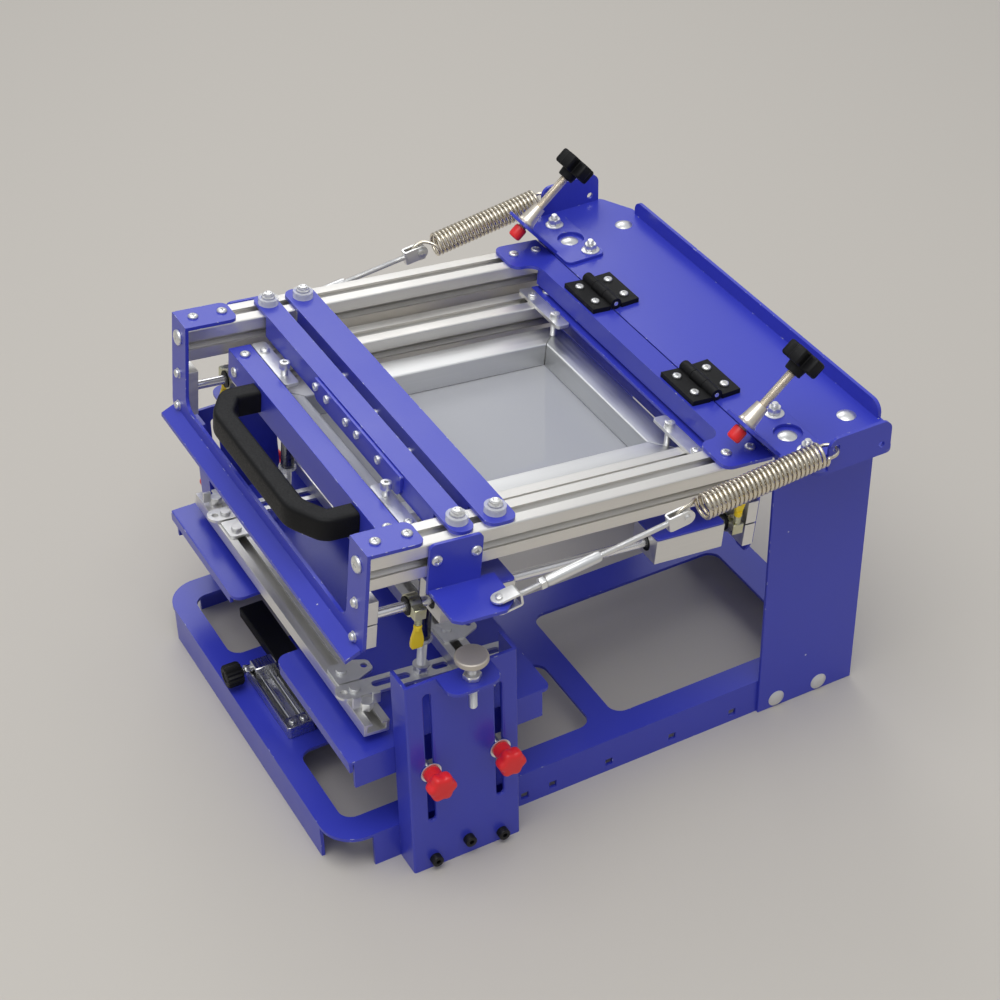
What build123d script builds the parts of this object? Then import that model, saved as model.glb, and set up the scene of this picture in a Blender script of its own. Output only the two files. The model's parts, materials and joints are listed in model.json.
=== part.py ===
from build123d import *
import math
import os

# Tabletop screen printing press. The frame is +Z up with the floor at z = 0, y = 0 at
# the operator's edge and x = 0 on the centre plane. The printing arm is drawn level and
# then tilted about its hinge pins; its pieces are saved with save_arm().
os.makedirs("parts", exist_ok=True)

# ---- driving dimensions, in millimetres and degrees -------------------------------
SHEET = 3.0                 # painted sheet steel
BEND = 2.0                  # inside radius of every fold
FIT = 0.05                  # running fit of shafts and screws, radial
GAP = 0.4                   # clearance between pieces that move past each other

BASE_WIDTH = 370.0
BASE_LENGTH = 500.0
BASE_HEIGHT = 35.0
BASE_CORNER = 30.0
CORNER_FLANGE_START = 34.0  # where the side flanges begin behind the round corner
FRONT_FLANGE_HALF = 155.0
RIM = 25.0                  # side rim of the base beside its cut-outs
FRONT_BRIDGE_HALF = 70.0    # half width of the plate between the front cut-outs
REAR_SPINE_HALF = 14.5
FRONT_CUT = (20.0, 252.0)
REAR_CUT = (274.0, 468.0)
CUT_CORNER = 12.0
SLOT_SQUARE = 7.0
SQUARE_HOLES = (172.7, 199.4, 253.9, 316.6, 377.7)
SQUARE_HOLE_Z = 10.0

TOWER_FRONT = 403.0
TOWER_REAR = 501.0
TOWER_TOP = 279.5
TOWER_TOP_FLANGE = 25.0
TOP_HALF = 229.0
TOP_FRONT_HALF = 190.0
TOP_FRONT = 398.5
TOP_REAR = 502.0
EAR = (423.0, 483.0)
EAR_HEIGHT = 28.5
EAR_HOLE_Y = 430.0
EAR_HOLE_Z = 302.0
REAR_LIP = 14.5

HINGE_Y = 400.0
HINGE_Z = 288.0
ARM_TILT = 6.0
HINGE_X = 80.0
HINGE_LENGTH = 50.0
HINGE_LEAF = 23.0
HINGE_LEAF_THICK = 4.5
HINGE_KNUCKLE = 5.2
HINGE_PIN = 2.0
HINGE_SCREW_X = 13.5
HINGE_SCREW_Y = 14.5

RAIL = 30.0                 # section of all four slotted aluminium rails
RAIL_SLOT = 8.0
RAIL_LIP = 2.2
RAIL_SLOT_WIDE = 16.5
RAIL_SLOT_DEEP = 9.0
RAIL_BORE = 3.4
ARM_RAIL_X = 174.0
ARM_RAIL_TOP = 279.5
PANEL_Y = 42.0
PANEL_LEG_BOTTOM = 190.0
PANEL_SILL = 204.0
PANEL_TOP_FLANGE = 48.0
REAR_LEG_Y = 396.0

GUIDE_ROD = 4.0             # radius
GUIDE_Z = 214.75
SUPPORT_HEIGHT = 43.0
SUPPORT_WIDTH = 24.0
SUPPORT_THICK = 10.0
SUPPORT_BOLTS = 32.0

BLOCK_SIZE = (34.0, 64.0, 22.0)
BLOCK_CENTRES = (137.0, 329.0)
BLOCK_PLATE = 2.0
BLOCK_PLATE_INNER = 118.0
CARRIAGE_RAIL_X = 135.0
CARRIAGE_FRONT = 77.0
CARRIAGE_REAR = 388.0
CARRIAGE_FLANGES = (20.0, 17.0)
CARRIAGE_SKIRT = 24.0

FRAME_HALF = 110.0
FRAME_TUBE = 26.0
FRAME_Y = (93.0, 377.0)
FRAME_TOP = 242.0
FRAME_DEEP = 22.0
FRAME_WALL = 2.0
MESH = 1.0
STRAP_Y = (104.0, 364.0)
STRAP_WIDTH = 13.0
STRAP_X = (79.0, 150.0)
STRAP_BOLT_TOP = (273.0, 265.0)

HANDLE_SPAN = (-98.0, 107.0)
HANDLE_FLAT = (-68.0, 75.0)
HANDLE_REACH = 49.0
HANDLE_CORNER = 27.0
HANDLE_BAR = 18.0
HANDLE_Z = (237.0, 258.0)

FRONT_BAR = (113.5, 133.3)
REAR_BAR = (142.5, 169.0)
BAR_HALF = 188.0
BAR_BOLT_X = 173.2
BAR_SKIRT_FRONT = 17.5
BAR_SKIRT_REAR = 21.0
BAR_BOLT_TOP = 293.0
HOLDER_X = (-52.0, 105.0)
HOLDER_Z = (262.0, 281.0)
HOLDER_BOLTS = (-47.0, -26.0, 10.0, 30.0, 68.0)
REAR_BAR_BOLTS = (-61.0, -1.4, 59.5)

HINGE_BAR = (375.0, 397.5)
HINGE_BAR_SKIRT = 15.0
HINGE_BAR_EAR_FRONT = 352.0
HINGE_BAR_EAR = (152.0, 192.0)
HINGE_BAR_SCREWS = (364.0, 387.0)

SPRING_X = 224.0
SHELF_Z = 238.5
SHELF_OUT = 235.0
SHELF_PIN_Y = 136.4
BRACKET_Y = (92.0, 137.0)
SHELF_HOLE = 4.0
PIN = 2.5
SPRING_WIRE = 3.0
SPRING_OUTER = 22.0
SPRING_COILS = 28
SPRING_PITCH = 3.95
HOOK_RADIUS = 8.0
GAP_SAMPLES = 8              # places measured along each arc of the wire
SPRING_FRONT_Y = 294.0      # where the spring hooks round the rear pin
CLEVIS_WIDTH = 13.0
CLEVIS_EAR = 2.0
TURN_TUBE = (171.0, 219.0)

STOP_X = 178.0
STOP_TIP = (360.4, 297.1)
STOP_KNOB = (419.0, 347.0)
STOP_RISE = 7.0              # how far the screw is backed out along its axis from STOP_TIP
STOP_SCREW = 4.0
STOP_PLATE_X = (137.0, 214.0)
STOP_PLATE_Y = (399.0, 438.0)
STOP_TAB = (159.5, 196.5)
STOP_TAB_LENGTH = 48.0
STOP_HOLE = 12.0
STOP_NUT = 19.5
STOP_KNOB_OUTER = 17.5
STOP_KNOB_THICK = 14.0
STOP_CAP = 12.0
STOP_HUB = 7.0
STOP_STUDS = ((-31.0, 29.0), (24.0, 23.0))   # beside the screw, and behind the bracket's front edge

STAND_Y = (57.0, 154.0)
STAND_OUT = 210.0
STAND_HEIGHT = 200.0
STAND_SLOT = 3.25
STAND_SLOTS = ((75.5, 52.0, 187.0), (137.0, 51.0, 172.0))
SHELF_Y = (84.0, 130.0)
SHELF_REACH = 235.0
STAND_SCREWS = ((76.0, 9.5), (106.5, 16.5), (137.0, 9.0))
KNOB_Z = (106.0, 103.0)
KNOB_HUB = 7.5
KNOB_STAR = 12.5
KNOB_STAR_THICK = 12.0
HEIGHT_SCREW_X = 222.0
HEIGHT_SCREW_Y = 108.5
HEIGHT_SCREW = 3.5
HEIGHT_SCREW_BOTTOM = 170.0
HEIGHT_KNOB = 13.5
HEIGHT_KNOB_TOP = 223.0
HEIGHT_KNOB_THICK = 6.0

TABLE_TOP = 120.5
TABLE_HALF = 184.5
TABLE_Y = (18.0, 198.0)
TABLE_FRONT_FOLD = 10.0
TABLE_END_FOLD = 28.0
TABLE_NOTCH_HALF = 42.0
TABLE_NOTCH_END = 78.0

LOWER_RAIL_Y = (67.0, 161.0)
LOWER_RAIL_WIDE = 22.0
LOWER_RAIL_HIGH = 11.0
LOWER_RAIL_HALF = 172.0
LOWER_STRAP_Z = 103.5
LOWER_STRAP_X = 131.0
LOWER_STRAP_WIDE = 18.0
LOWER_STRAP_Y = (50.5, 209.0)
LOWER_STRAP = 2.5
POST_Y = 125.5
POST = 4.0
POST_SLEEVE = 6.0
POST_SLEEVE_BOTTOM = 141.0

# ---- values that follow from them --------------------------------------------------
BASE_HALF = BASE_WIDTH / 2
TOP_Z = TOWER_TOP + SHEET
ARM_TOP = ARM_RAIL_TOP + SHEET
BLOCK_TOP = GUIDE_Z + BLOCK_SIZE[2] / 2
CARRIAGE_RAIL_BOTTOM = BLOCK_TOP + BLOCK_PLATE
CARRIAGE_TOP = CARRIAGE_RAIL_BOTTOM + RAIL
RAIL_Y = (PANEL_Y + SHEET, REAR_LEG_Y)
COSINE = math.cos(math.radians(ARM_TILT))
SINE = math.sin(math.radians(ARM_TILT))
ARM = Pos(0, HINGE_Y, HINGE_Z) * Rot(-ARM_TILT, 0, 0) * Pos(0, -HINGE_Y, -HINGE_Z)


# ---- small helpers -----------------------------------------------------------------
def block(x, y, z):
    """Box between two limits on each axis."""
    low = [min(pair) for pair in (x, y, z)]
    size = [abs(pair[1] - pair[0]) for pair in (x, y, z)]
    return Pos(*low) * Box(*size, align=(Align.MIN, Align.MIN, Align.MIN))


def along(start, end):
    """Plane at start whose normal looks at end, and the distance between them."""
    way = Vector(*end) - Vector(*start)
    return Plane(origin=Vector(*start), z_dir=way), way.length


def rod(start, end, radius):
    """Round bar from start to end."""
    plane, length = along(start, end)
    return extrude(plane * Circle(radius), length)


def hexagon(start, end, across_flats):
    """Hexagonal bar from start to end."""
    plane, length = along(start, end)
    return extrude(plane * RegularPolygon(across_flats / 2, 6, major_radius=False), length)


def cone(start, end, radius_start, radius_end):
    """Tapered round bar."""
    plane, length = along(start, end)
    face = make_face(Polyline((0, 0), (radius_start, 0), (radius_end, length), (0, length), close=True))
    return plane.location * revolve(Plane.XZ * face, Axis.Z)


def plate(face, z_low, z_high):
    """Flat plate between two heights from an outline drawn in plan."""
    return extrude(Plane.XY.offset(z_low) * face, z_high - z_low)


def outline(points, radius=0.0):
    """Closed outline with rounded corners; radius is one number or one for each corner."""
    return make_face(FilletPolyline(*points, radius=radius, close=True))


def rectangle(x, y, radius=0.0):
    """Rectangle between limits in plan, with round corners."""
    centre = Pos((x[0] + x[1]) / 2, (y[0] + y[1]) / 2)
    if radius:
        return centre * RectangleRounded(x[1] - x[0], y[1] - y[0], radius)
    return centre * Rectangle(x[1] - x[0], y[1] - y[0])


def folded(points, thickness, plane, length):
    """Sheet folded along a line of points: the line is one face, the other lies to its left."""
    line = [Vector(*point) for point in points]
    ways = [(b - a).normalized() for a, b in zip(line, line[1:])]
    lefts = [Vector(-way.Y, way.X) for way in ways]
    other = [line[0] + lefts[0] * thickness]
    near_radii, far_radii = [], []
    for corner, before, after, way_in, way_out in zip(line[1:], lefts, lefts[1:], ways, ways[1:]):
        middle = (before + after).normalized()
        other.append(corner + middle * (thickness / middle.dot(before)))
        left_turn = way_in.X * way_out.Y - way_in.Y * way_out.X > 0
        near_radii.append(BEND + thickness if left_turn else BEND)
        far_radii.append(BEND if left_turn else BEND + thickness)
    other.append(line[-1] + lefts[-1] * thickness)
    if len(line) == 2:
        near, far = Line(*line), Line(*other)
    else:
        near = FilletPolyline(*line, radius=near_radii)
        far = FilletPolyline(*other, radius=far_radii)
    face = make_face([*near.edges(), *far.edges(), *Line(line[0], other[0]).edges(),
                      *Line(line[-1], other[-1]).edges()])
    return extrude(plane * face, length)


def slotted_rail(length):
    """Square rail with a T slot in each side and a bore, drawn upright at the origin."""
    half = RAIL / 2
    floor = half - RAIL_SLOT_DEEP
    wide = RAIL_SLOT_WIDE / 2
    mouth = RAIL_SLOT / 2
    slot = make_face(Polyline((-mouth, half + 1), (-mouth, half - RAIL_LIP), (-wide, half - RAIL_LIP),
                              (-wide, half - RAIL_LIP - 2), (-mouth, floor), (mouth, floor),
                              (wide, half - RAIL_LIP - 2), (wide, half - RAIL_LIP),
                              (mouth, half - RAIL_LIP), (mouth, half + 1), close=True))
    section = RectangleRounded(RAIL, RAIL, 1.5) - Circle(RAIL_BORE)
    for turn in range(4):
        section -= Rot(0, 0, 90 * turn) * slot
    return extrude(section, length)


def pair(shape):
    """The piece and its mirror image on the other side of the press."""
    return [shape, mirror(shape, Plane.YZ)]


def solids_of(shapes):
    """Flat list of the solids in a nest of shapes."""
    found = []
    for shape in shapes:
        found += solids_of(shape) if isinstance(shape, (list, tuple)) else list(shape.solids())
    return found


def save(name, *shapes):
    """One file for one named piece or group of like pieces."""
    export_step(Compound(children=solids_of(shapes)), f"parts/{name}.step")


def save_arm(name, *shapes):
    """The same for a piece drawn level on the arm."""
    save(name, *[ARM * solid for solid in solids_of(shapes)])


def pan_head(centre, way, radius=4.5, height=2.6):
    """Screw head standing on a face; way points off the face."""
    start = Vector(*centre)
    return rod(tuple(start), tuple(start + Vector(*way) * height), radius)


UP, FORWARD, OUT = (0, 0, 1), (0, -1, 0), (1, 0, 0)


# ---- base: plate, towers, top plate -------------------------------------------------
def base_plate():
    """Sheet folded down on all sides, with round front corners and four cut-outs."""
    corners = [(-BASE_HALF, 0), (BASE_HALF, 0), (BASE_HALF, BASE_LENGTH), (-BASE_HALF, BASE_LENGTH)]
    top = plate(outline(corners, [BASE_CORNER, BASE_CORNER, BEND, BEND]), BASE_HEIGHT - SHEET, BASE_HEIGHT)
    inner = BASE_HALF - RIM
    for low, high, spine in ((*FRONT_CUT, FRONT_BRIDGE_HALF), (*REAR_CUT, REAR_SPINE_HALF)):
        hole = rectangle((spine, inner), (low, high), CUT_CORNER)
        for cut in pair(plate(hole, 0, BASE_HEIGHT + 1)):
            top -= cut
    side = block((BASE_HALF - SHEET, BASE_HALF), (CORNER_FLANGE_START, BASE_LENGTH), (0, BASE_HEIGHT - SHEET))
    for y in SQUARE_HOLES:
        half = SLOT_SQUARE / 2
        side -= block((BASE_HALF - 10, BASE_HALF + 1), (y - half, y + half),
                      (SQUARE_HOLE_Z - half, SQUARE_HOLE_Z + half))
    front = block((-FRONT_FLANGE_HALF, FRONT_FLANGE_HALF), (0, SHEET), (0, BASE_HEIGHT - SHEET))
    rear = block((-BASE_HALF, BASE_HALF), (BASE_LENGTH - SHEET, BASE_LENGTH), (0, BASE_HEIGHT - SHEET))
    body = top + front + rear
    for flange in pair(side):
        body += flange
    return body


def tower_side():
    """Right-hand upright outside the base, with its top folded inwards."""
    start = (BASE_HALF, 0)
    inner_corner = (BASE_HALF, TOWER_TOP - SHEET)
    end = (BASE_HALF - TOWER_TOP_FLANGE, TOWER_TOP - SHEET)
    return folded([end, inner_corner, start], SHEET, Plane.XZ.offset(-TOWER_REAR), TOWER_REAR - TOWER_FRONT)


def top_plate():
    """Deck of the tower with an upright ear for each spring and a lip behind."""
    half_rear = TOP_HALF - 34.0
    corners = [(-TOP_FRONT_HALF, TOP_FRONT), (TOP_FRONT_HALF, TOP_FRONT), (TOP_HALF, TOP_FRONT + 14),
               (TOP_HALF, EAR[1] + 2), (half_rear, TOP_REAR), (-half_rear, TOP_REAR),
               (-TOP_HALF, EAR[1] + 2), (-TOP_HALF, TOP_FRONT + 14)]
    deck = plate(outline(corners, [1, 1, 10, 10, 4, 4, 10, 10]), TOWER_TOP, TOP_Z)
    lip = block((-half_rear + 8, half_rear - 4), (TOP_REAR - SHEET, TOP_REAR), (TOP_Z, TOP_Z + REAR_LIP))
    lip = fillet(lip.edges().filter_by(Axis.Y).group_by(Axis.Z)[-1], REAR_LIP * 0.7)
    ear = block((TOP_HALF - SHEET, TOP_HALF), EAR, (TOP_Z, TOP_Z + EAR_HEIGHT))
    ear = fillet(ear.edges().filter_by(Axis.X).group_by(Axis.Z)[-1], 9)
    ear -= rod((TOP_HALF - 9, EAR_HOLE_Y, EAR_HOLE_Z), (TOP_HALF + 9, EAR_HOLE_Y, EAR_HOLE_Z),
               SPRING_WIRE + 0.2)
    ear -= rod((TOP_HALF - 9, EAR[1] - 9, TOP_Z + 7), (TOP_HALF + 9, EAR[1] - 9, TOP_Z + 7), 3)
    deck += lip
    for side in pair(ear):
        deck += side
    return deck


save("base_plate", base_plate())
save("towers", pair(tower_side()))
save("top_plate", top_plate())


# ---- side stands, with the height screws that the arm comes down on ------------------
def side_stand():
    """Channel beside the base with two slots, and a shelf folded out of its top."""
    inner = STAND_OUT - SHEET
    low, high = STAND_Y
    web = block((inner, STAND_OUT), STAND_Y, (0, STAND_HEIGHT))
    for y, bottom, top in STAND_SLOTS:
        slot = Pos(y, (bottom + top) / 2) * SlotOverall(top - bottom, 2 * STAND_SLOT, rotation=90)
        web -= extrude(Plane.YZ.offset(inner - 1) * slot, SHEET + 2)
    body = web
    for y in (low, high - SHEET):
        body += block((BASE_HALF, inner), (y, y + SHEET), (0, STAND_HEIGHT))
    body = fillet(body.edges().filter_by(Axis.Z).group_by(Axis.X)[-1], BEND)
    shelf = outline([(inner, SHELF_Y[0]), (SHELF_REACH, SHELF_Y[0]), (SHELF_REACH, SHELF_Y[1]),
                     (inner, SHELF_Y[1])], [0.5, 11, 11, 0.5])
    body += plate(shelf, STAND_HEIGHT - SHEET, STAND_HEIGHT)
    hole_top = (HEIGHT_SCREW_X, HEIGHT_SCREW_Y, STAND_HEIGHT + 1)
    body -= rod((HEIGHT_SCREW_X, HEIGHT_SCREW_Y, STAND_HEIGHT - 9), hole_top, HEIGHT_SCREW + FIT)
    for y, z in STAND_SCREWS:
        body -= rod((inner - 1, y, z), (STAND_OUT + 1, y, z), 3.05)
    return body


def height_screw():
    """Threaded stem that stands in the shelf."""
    knob_bottom = HEIGHT_KNOB_TOP - HEIGHT_KNOB_THICK
    return rod((HEIGHT_SCREW_X, HEIGHT_SCREW_Y, HEIGHT_SCREW_BOTTOM),
               (HEIGHT_SCREW_X, HEIGHT_SCREW_Y, knob_bottom), HEIGHT_SCREW)


def height_knob():
    """Round plated button on top of the stem, which the arm's bracket lands on."""
    knob_bottom = HEIGHT_KNOB_TOP - HEIGHT_KNOB_THICK
    knob = rod((HEIGHT_SCREW_X, HEIGHT_SCREW_Y, knob_bottom),
               (HEIGHT_SCREW_X, HEIGHT_SCREW_Y, HEIGHT_KNOB_TOP), HEIGHT_KNOB)
    return chamfer(knob.edges().group_by(Axis.Z)[-1], 1)


def clamp_knob(y, z):
    """Red star knob on its stud, which passes the slot and holds the table's end."""
    stud = rod((TABLE_HALF - 8, y, z), (STAND_OUT + 12, y, z), STAND_SLOT - 0.25)
    washer = rod((STAND_OUT + 0.3, y, z), (STAND_OUT + 1.5, y, z), KNOB_HUB + 1.5)
    hub_end = STAND_OUT + KNOB_STAR_THICK
    hub = rod((STAND_OUT + 1.5, y, z), (hub_end, y, z), KNOB_HUB)
    head = rod((hub_end, y, z), (hub_end + KNOB_STAR_THICK, y, z), KNOB_STAR)
    for turn in range(6):
        angle = math.radians(60 * turn)
        far = KNOB_STAR + 2.2
        place = (y + far * math.cos(angle), z + far * math.sin(angle))
        head -= rod((hub_end - 1, *place), (hub_end + KNOB_STAR_THICK + 1, *place), 4.4)
    return stud + washer + hub + head


save("stands", pair(side_stand()))
save("height_screw_right", height_screw())
save("height_screw_left", mirror(height_screw(), Plane.YZ))
save("height_knob_right", height_knob())
save("height_knob_left", mirror(height_knob(), Plane.YZ))
for place, (slot_y, *_), knob_z in zip(("front", "rear"), STAND_SLOTS, KNOB_Z):
    save(f"clamp_knob_right_{place}", clamp_knob(slot_y, knob_z))
    save(f"clamp_knob_left_{place}", mirror(clamp_knob(slot_y, knob_z), Plane.YZ))


# ---- work table ----------------------------------------------------------------------
def work_table():
    """Flat plate folded down in front and at its ends, notched round the fixture."""
    front, rear = TABLE_Y
    notch = TABLE_NOTCH_HALF
    corners = [(-TABLE_HALF, front), (-notch, front), (-notch, TABLE_NOTCH_END), (notch, TABLE_NOTCH_END),
               (notch, front), (TABLE_HALF, front), (TABLE_HALF, rear), (-TABLE_HALF, rear)]
    radii = [BEND, 10, 10, 10, 10, BEND, 6, 6]
    body = plate(outline(corners, radii), TABLE_TOP - SHEET, TABLE_TOP)
    fold = block((notch + 10, TABLE_HALF), (front, front + SHEET),
                 (TABLE_TOP - TABLE_FRONT_FOLD, TABLE_TOP - SHEET))
    end = block((TABLE_HALF - SHEET, TABLE_HALF), (front + 4, rear - 8),
                (TABLE_TOP - TABLE_END_FOLD, TABLE_TOP - SHEET))
    for (y, *_), z in zip(STAND_SLOTS, KNOB_Z):
        end -= rod((TABLE_HALF - 9, y, z), (TABLE_HALF + 1, y, z), STAND_SLOT - 0.25 + FIT)
    for piece in pair(fold) + pair(end):
        body += piece
    return body


save("work_table", work_table())


# ---- cup fixture on the bridge of the base --------------------------------------------
def fixture_tray():
    """Shallow steel channel with a block that the screw pushes, and two cross rods."""
    section = [(20, BASE_HEIGHT + 12), (20, BASE_HEIGHT), (46, BASE_HEIGHT), (46, BASE_HEIGHT + 12)]
    tray = folded(section, 2, Plane.YZ.offset(-40), 92)
    jaw = block((-38, -24), (24, 44), (BASE_HEIGHT + 2, BASE_HEIGHT + 18))
    end = block((36, 50), (24, 44), (BASE_HEIGHT + 2, BASE_HEIGHT + 10))
    rods = [rod((-24, y, BASE_HEIGHT + 6), (36, y, BASE_HEIGHT + 6), 2) for y in (29, 39)]
    bore = rod((-31, 19, BASE_HEIGHT + 15), (-31, 45, BASE_HEIGHT + 15), 3 + FIT)
    return [tray, jaw - bore, end, *rods]


def fixture_knob():
    """Knurled knob on the fixture's screw."""
    height = BASE_HEIGHT + 15
    knob = extrude(Plane(origin=(-31, 13, height), z_dir=(0, -1, 0)) * RegularPolygon(10.5, 12), 15)
    return knob + rod((-31, 13, height), (-31, 42, height), 3)


save("fixture_tray", fixture_tray())
save("fixture_pad", block((-116, 58), (47, 70), (BASE_HEIGHT, BASE_HEIGHT + 11)))
save("fixture_knob", fixture_knob())


# ---- hinges -----------------------------------------------------------------------------
def hinge_leaf(rear, centre):
    """Moulded leaf: rear ones carry the middle knuckle, front ones the two outer knuckles."""
    third = HINGE_LENGTH / 3
    low, high = centre - HINGE_LENGTH / 2, centre + HINGE_LENGTH / 2
    bottom = TOP_Z if rear else ARM_TOP
    spans = [(low + third, high - third)] if rear else [(low, low + third - GAP), (high - third + GAP, high)]
    reach = HINGE_KNUCKLE + GAP
    way = 1 if rear else -1
    leaf = block((low, high), (HINGE_Y + way * reach, HINGE_Y + way * HINGE_LEAF),
                 (bottom, bottom + HINGE_LEAF_THICK))
    for start, end in spans:
        leaf += rod((start, HINGE_Y, HINGE_Z), (end, HINGE_Y, HINGE_Z), HINGE_KNUCKLE)
        neck_bottom = HINGE_Z - 3.2
        leaf += block((start, end), (HINGE_Y + way * 3, HINGE_Y + way * (reach + 1)),
                      (neck_bottom, bottom + HINGE_LEAF_THICK))
    play = FIT if not rear else 0
    return leaf - rod((low - 1, HINGE_Y, HINGE_Z), (high + 1, HINGE_Y, HINGE_Z), HINGE_PIN + play)


save("hinge_rear_leaves", [hinge_leaf(True, x) for x in (-HINGE_X, HINGE_X)])
save_arm("hinge_front_leaves", [hinge_leaf(False, x) for x in (-HINGE_X, HINGE_X)])
save("hinge_pins",
     [rod((x - HINGE_LENGTH / 2, HINGE_Y, HINGE_Z), (x + HINGE_LENGTH / 2, HINGE_Y, HINGE_Z), HINGE_PIN)
                    for x in (-HINGE_X, HINGE_X)])


# ---- upper stops: bracket, screw and knob on each side -----------------------------------
stop_rise = STOP_KNOB[1] - STOP_TIP[1]
stop_run = STOP_KNOB[0] - STOP_TIP[0]
stop_length = math.hypot(stop_rise, stop_run)
STOP_WAY = Vector(0, stop_run / stop_length, stop_rise / stop_length)
STOP_TAB_WAY = Vector(0, -STOP_WAY.Z, STOP_WAY.Y)
tab_foot = Vector(0, STOP_PLATE_Y[0] + 1.5, TOP_Z + SHEET / 2)


def stop_point(distance):
    """Point on the stop screw's axis, measured from STOP_TIP."""
    return Vector(STOP_X, *STOP_TIP) + STOP_WAY * distance


# Distance along the screw at which it meets the middle of the slanting tab.
STOP_TAB_AT = (Vector(0, *STOP_TIP) - tab_foot).dot(STOP_WAY) * -1


def stop_bracket():
    """Plate bolted to the deck, with a tab folded up and forwards for the screw."""
    body = plate(rectangle(STOP_PLATE_X, STOP_PLATE_Y, 6), TOP_Z, TOP_Z + SHEET)
    hole_middle = (ARM_RAIL_X, 423.0)
    body -= plate(Pos(*hole_middle) * Circle(STOP_HOLE), TOP_Z - 1, TOP_Z + SHEET + 1)
    plane = Plane(origin=(sum(STOP_TAB) / 2, tab_foot.Y, tab_foot.Z), x_dir=(-1, 0, 0), z_dir=STOP_WAY)
    width = STOP_TAB[1] - STOP_TAB[0]
    tab_face = outline([(-width / 2, 0), (width / 2, 0), (width / 2, STOP_TAB_LENGTH),
                        (-width / 2, STOP_TAB_LENGTH)],
                       [0.5, 0.5, 10, 10])
    body += extrude(plane.offset(-SHEET / 2) * tab_face, SHEET)
    body -= rod(tuple(stop_point(STOP_TAB_AT - 9)), tuple(stop_point(STOP_TAB_AT + 9)), STOP_SCREW + 0.5)
    return body


def stop_nut():
    """Tapered lock nut on the upper side of the tab."""
    foot = stop_point(STOP_TAB_AT + SHEET / 2)
    top = stop_point(STOP_TAB_AT + SHEET / 2 + STOP_NUT)
    nut = cone(tuple(foot), tuple(top), 8.5, 6.0)
    return nut - rod(tuple(stop_point(STOP_TAB_AT)), tuple(stop_point(STOP_TAB_AT + 40)), STOP_SCREW + FIT)


def stop_screw():
    """Threaded stem with its rubber cap at the lower end."""
    low, cap_top = stop_point(STOP_RISE), stop_point(STOP_RISE + STOP_CAP)
    stem = rod(tuple(cap_top), tuple(stop_point(STOP_RISE + stop_length - STOP_HUB)), STOP_SCREW)
    tip = rod(tuple(low), tuple(cap_top), 6)
    tip = fillet(tip.edges().sort_by(Axis.Z)[0], 2)
    return [stem, tip]


def stop_knob():
    """Black five-lobed knob on the stem's upper end."""
    start = stop_point(STOP_RISE + stop_length - STOP_HUB)
    plane = Plane(origin=start, x_dir=(1, 0, 0), z_dir=STOP_WAY)
    hub = extrude(plane * Circle(7.5), STOP_HUB)
    star = Circle(STOP_KNOB_OUTER * 0.55)
    for turn in range(5):
        angle = 72 * turn
        star += Rot(0, 0, angle) * Pos(STOP_KNOB_OUTER * 0.6, 0) * RectangleRounded(STOP_KNOB_OUTER * 0.8,
                                                                                    9, 3)
    return hub + extrude(plane.offset(STOP_HUB) * star, STOP_KNOB_THICK)


stop_brackets, stop_nuts = pair(stop_bracket()), pair(stop_nut())
save("stop_brackets", stop_brackets)
save("stop_screw_right", stop_screw())
save("stop_screw_left", [mirror(solid, Plane.YZ) for solid in stop_screw()])
save("stop_knob_right", stop_knob())
save("stop_knob_left", mirror(stop_knob(), Plane.YZ))

# ---- fasteners of the base ---------------------------------------------------------------
base_fasteners = [*stop_nuts]
for screw_y, screw_z in STAND_SCREWS:
    head = rod((STAND_OUT, screw_y, screw_z), (STAND_OUT + 6, screw_y, screw_z), 5)
    shank = rod((BASE_HALF, screw_y, screw_z), (STAND_OUT, screw_y, screw_z), 3)
    base_fasteners += pair(head + shank)
for bolt_y in (TOWER_FRONT + 18.7, TOWER_FRONT + 63.1):
    base_fasteners += pair(cone((BASE_HALF + SHEET, bolt_y, 9), (BASE_HALF + SHEET + 3, bolt_y, 9), 8, 5))
deck_bolt_x = BASE_HALF - 10.4
for bolt_y in (TOP_FRONT + 23.6, TOP_FRONT + 81.2):
    base_fasteners += pair(cone((deck_bolt_x, bolt_y, TOP_Z), (deck_bolt_x, bolt_y, TOP_Z + 2.6), 8, 5))
for beside, behind in STOP_STUDS:
    level = TOP_Z + SHEET
    nut_x, nut_y = STOP_X + beside, STOP_PLATE_Y[0] + behind
    nut = rod((nut_x, nut_y, level), (nut_x, nut_y, level + 1.6), 8)
    nut += hexagon((nut_x, nut_y, level + 1.6), (nut_x, nut_y, level + 7), 10)
    nut += rod((nut_x, nut_y, level + 7), (nut_x, nut_y, level + 11), 3)
    base_fasteners += pair(nut)
for hinge_x in (-HINGE_X, HINGE_X):
    for offset in (-HINGE_SCREW_X, HINGE_SCREW_X):
        place = (hinge_x + offset, HINGE_Y + HINGE_SCREW_Y, TOP_Z + HINGE_LEAF_THICK)
        base_fasteners.append(pan_head(place, UP, 4))
height_nut = hexagon((HEIGHT_SCREW_X, HEIGHT_SCREW_Y, STAND_HEIGHT),
                     (HEIGHT_SCREW_X, HEIGHT_SCREW_Y, STAND_HEIGHT + 4.5), 13)
height_nut -= rod((HEIGHT_SCREW_X, HEIGHT_SCREW_Y, STAND_HEIGHT - 1),
                  (HEIGHT_SCREW_X, HEIGHT_SCREW_Y, STAND_HEIGHT + 6),
                  HEIGHT_SCREW + FIT)
base_fasteners += pair(height_nut)
save("base_fasteners", base_fasteners)


# ---- arm: rails, front panel, rear legs, hinge bar ---------------------------------------
def rail(centre_x, bottom, y_limits):
    """Slotted rail lying along Y."""
    length = y_limits[1] - y_limits[0]
    return Pos(centre_x, y_limits[1], bottom + RAIL / 2) * Rot(90, 0, 0) * slotted_rail(length)


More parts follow.
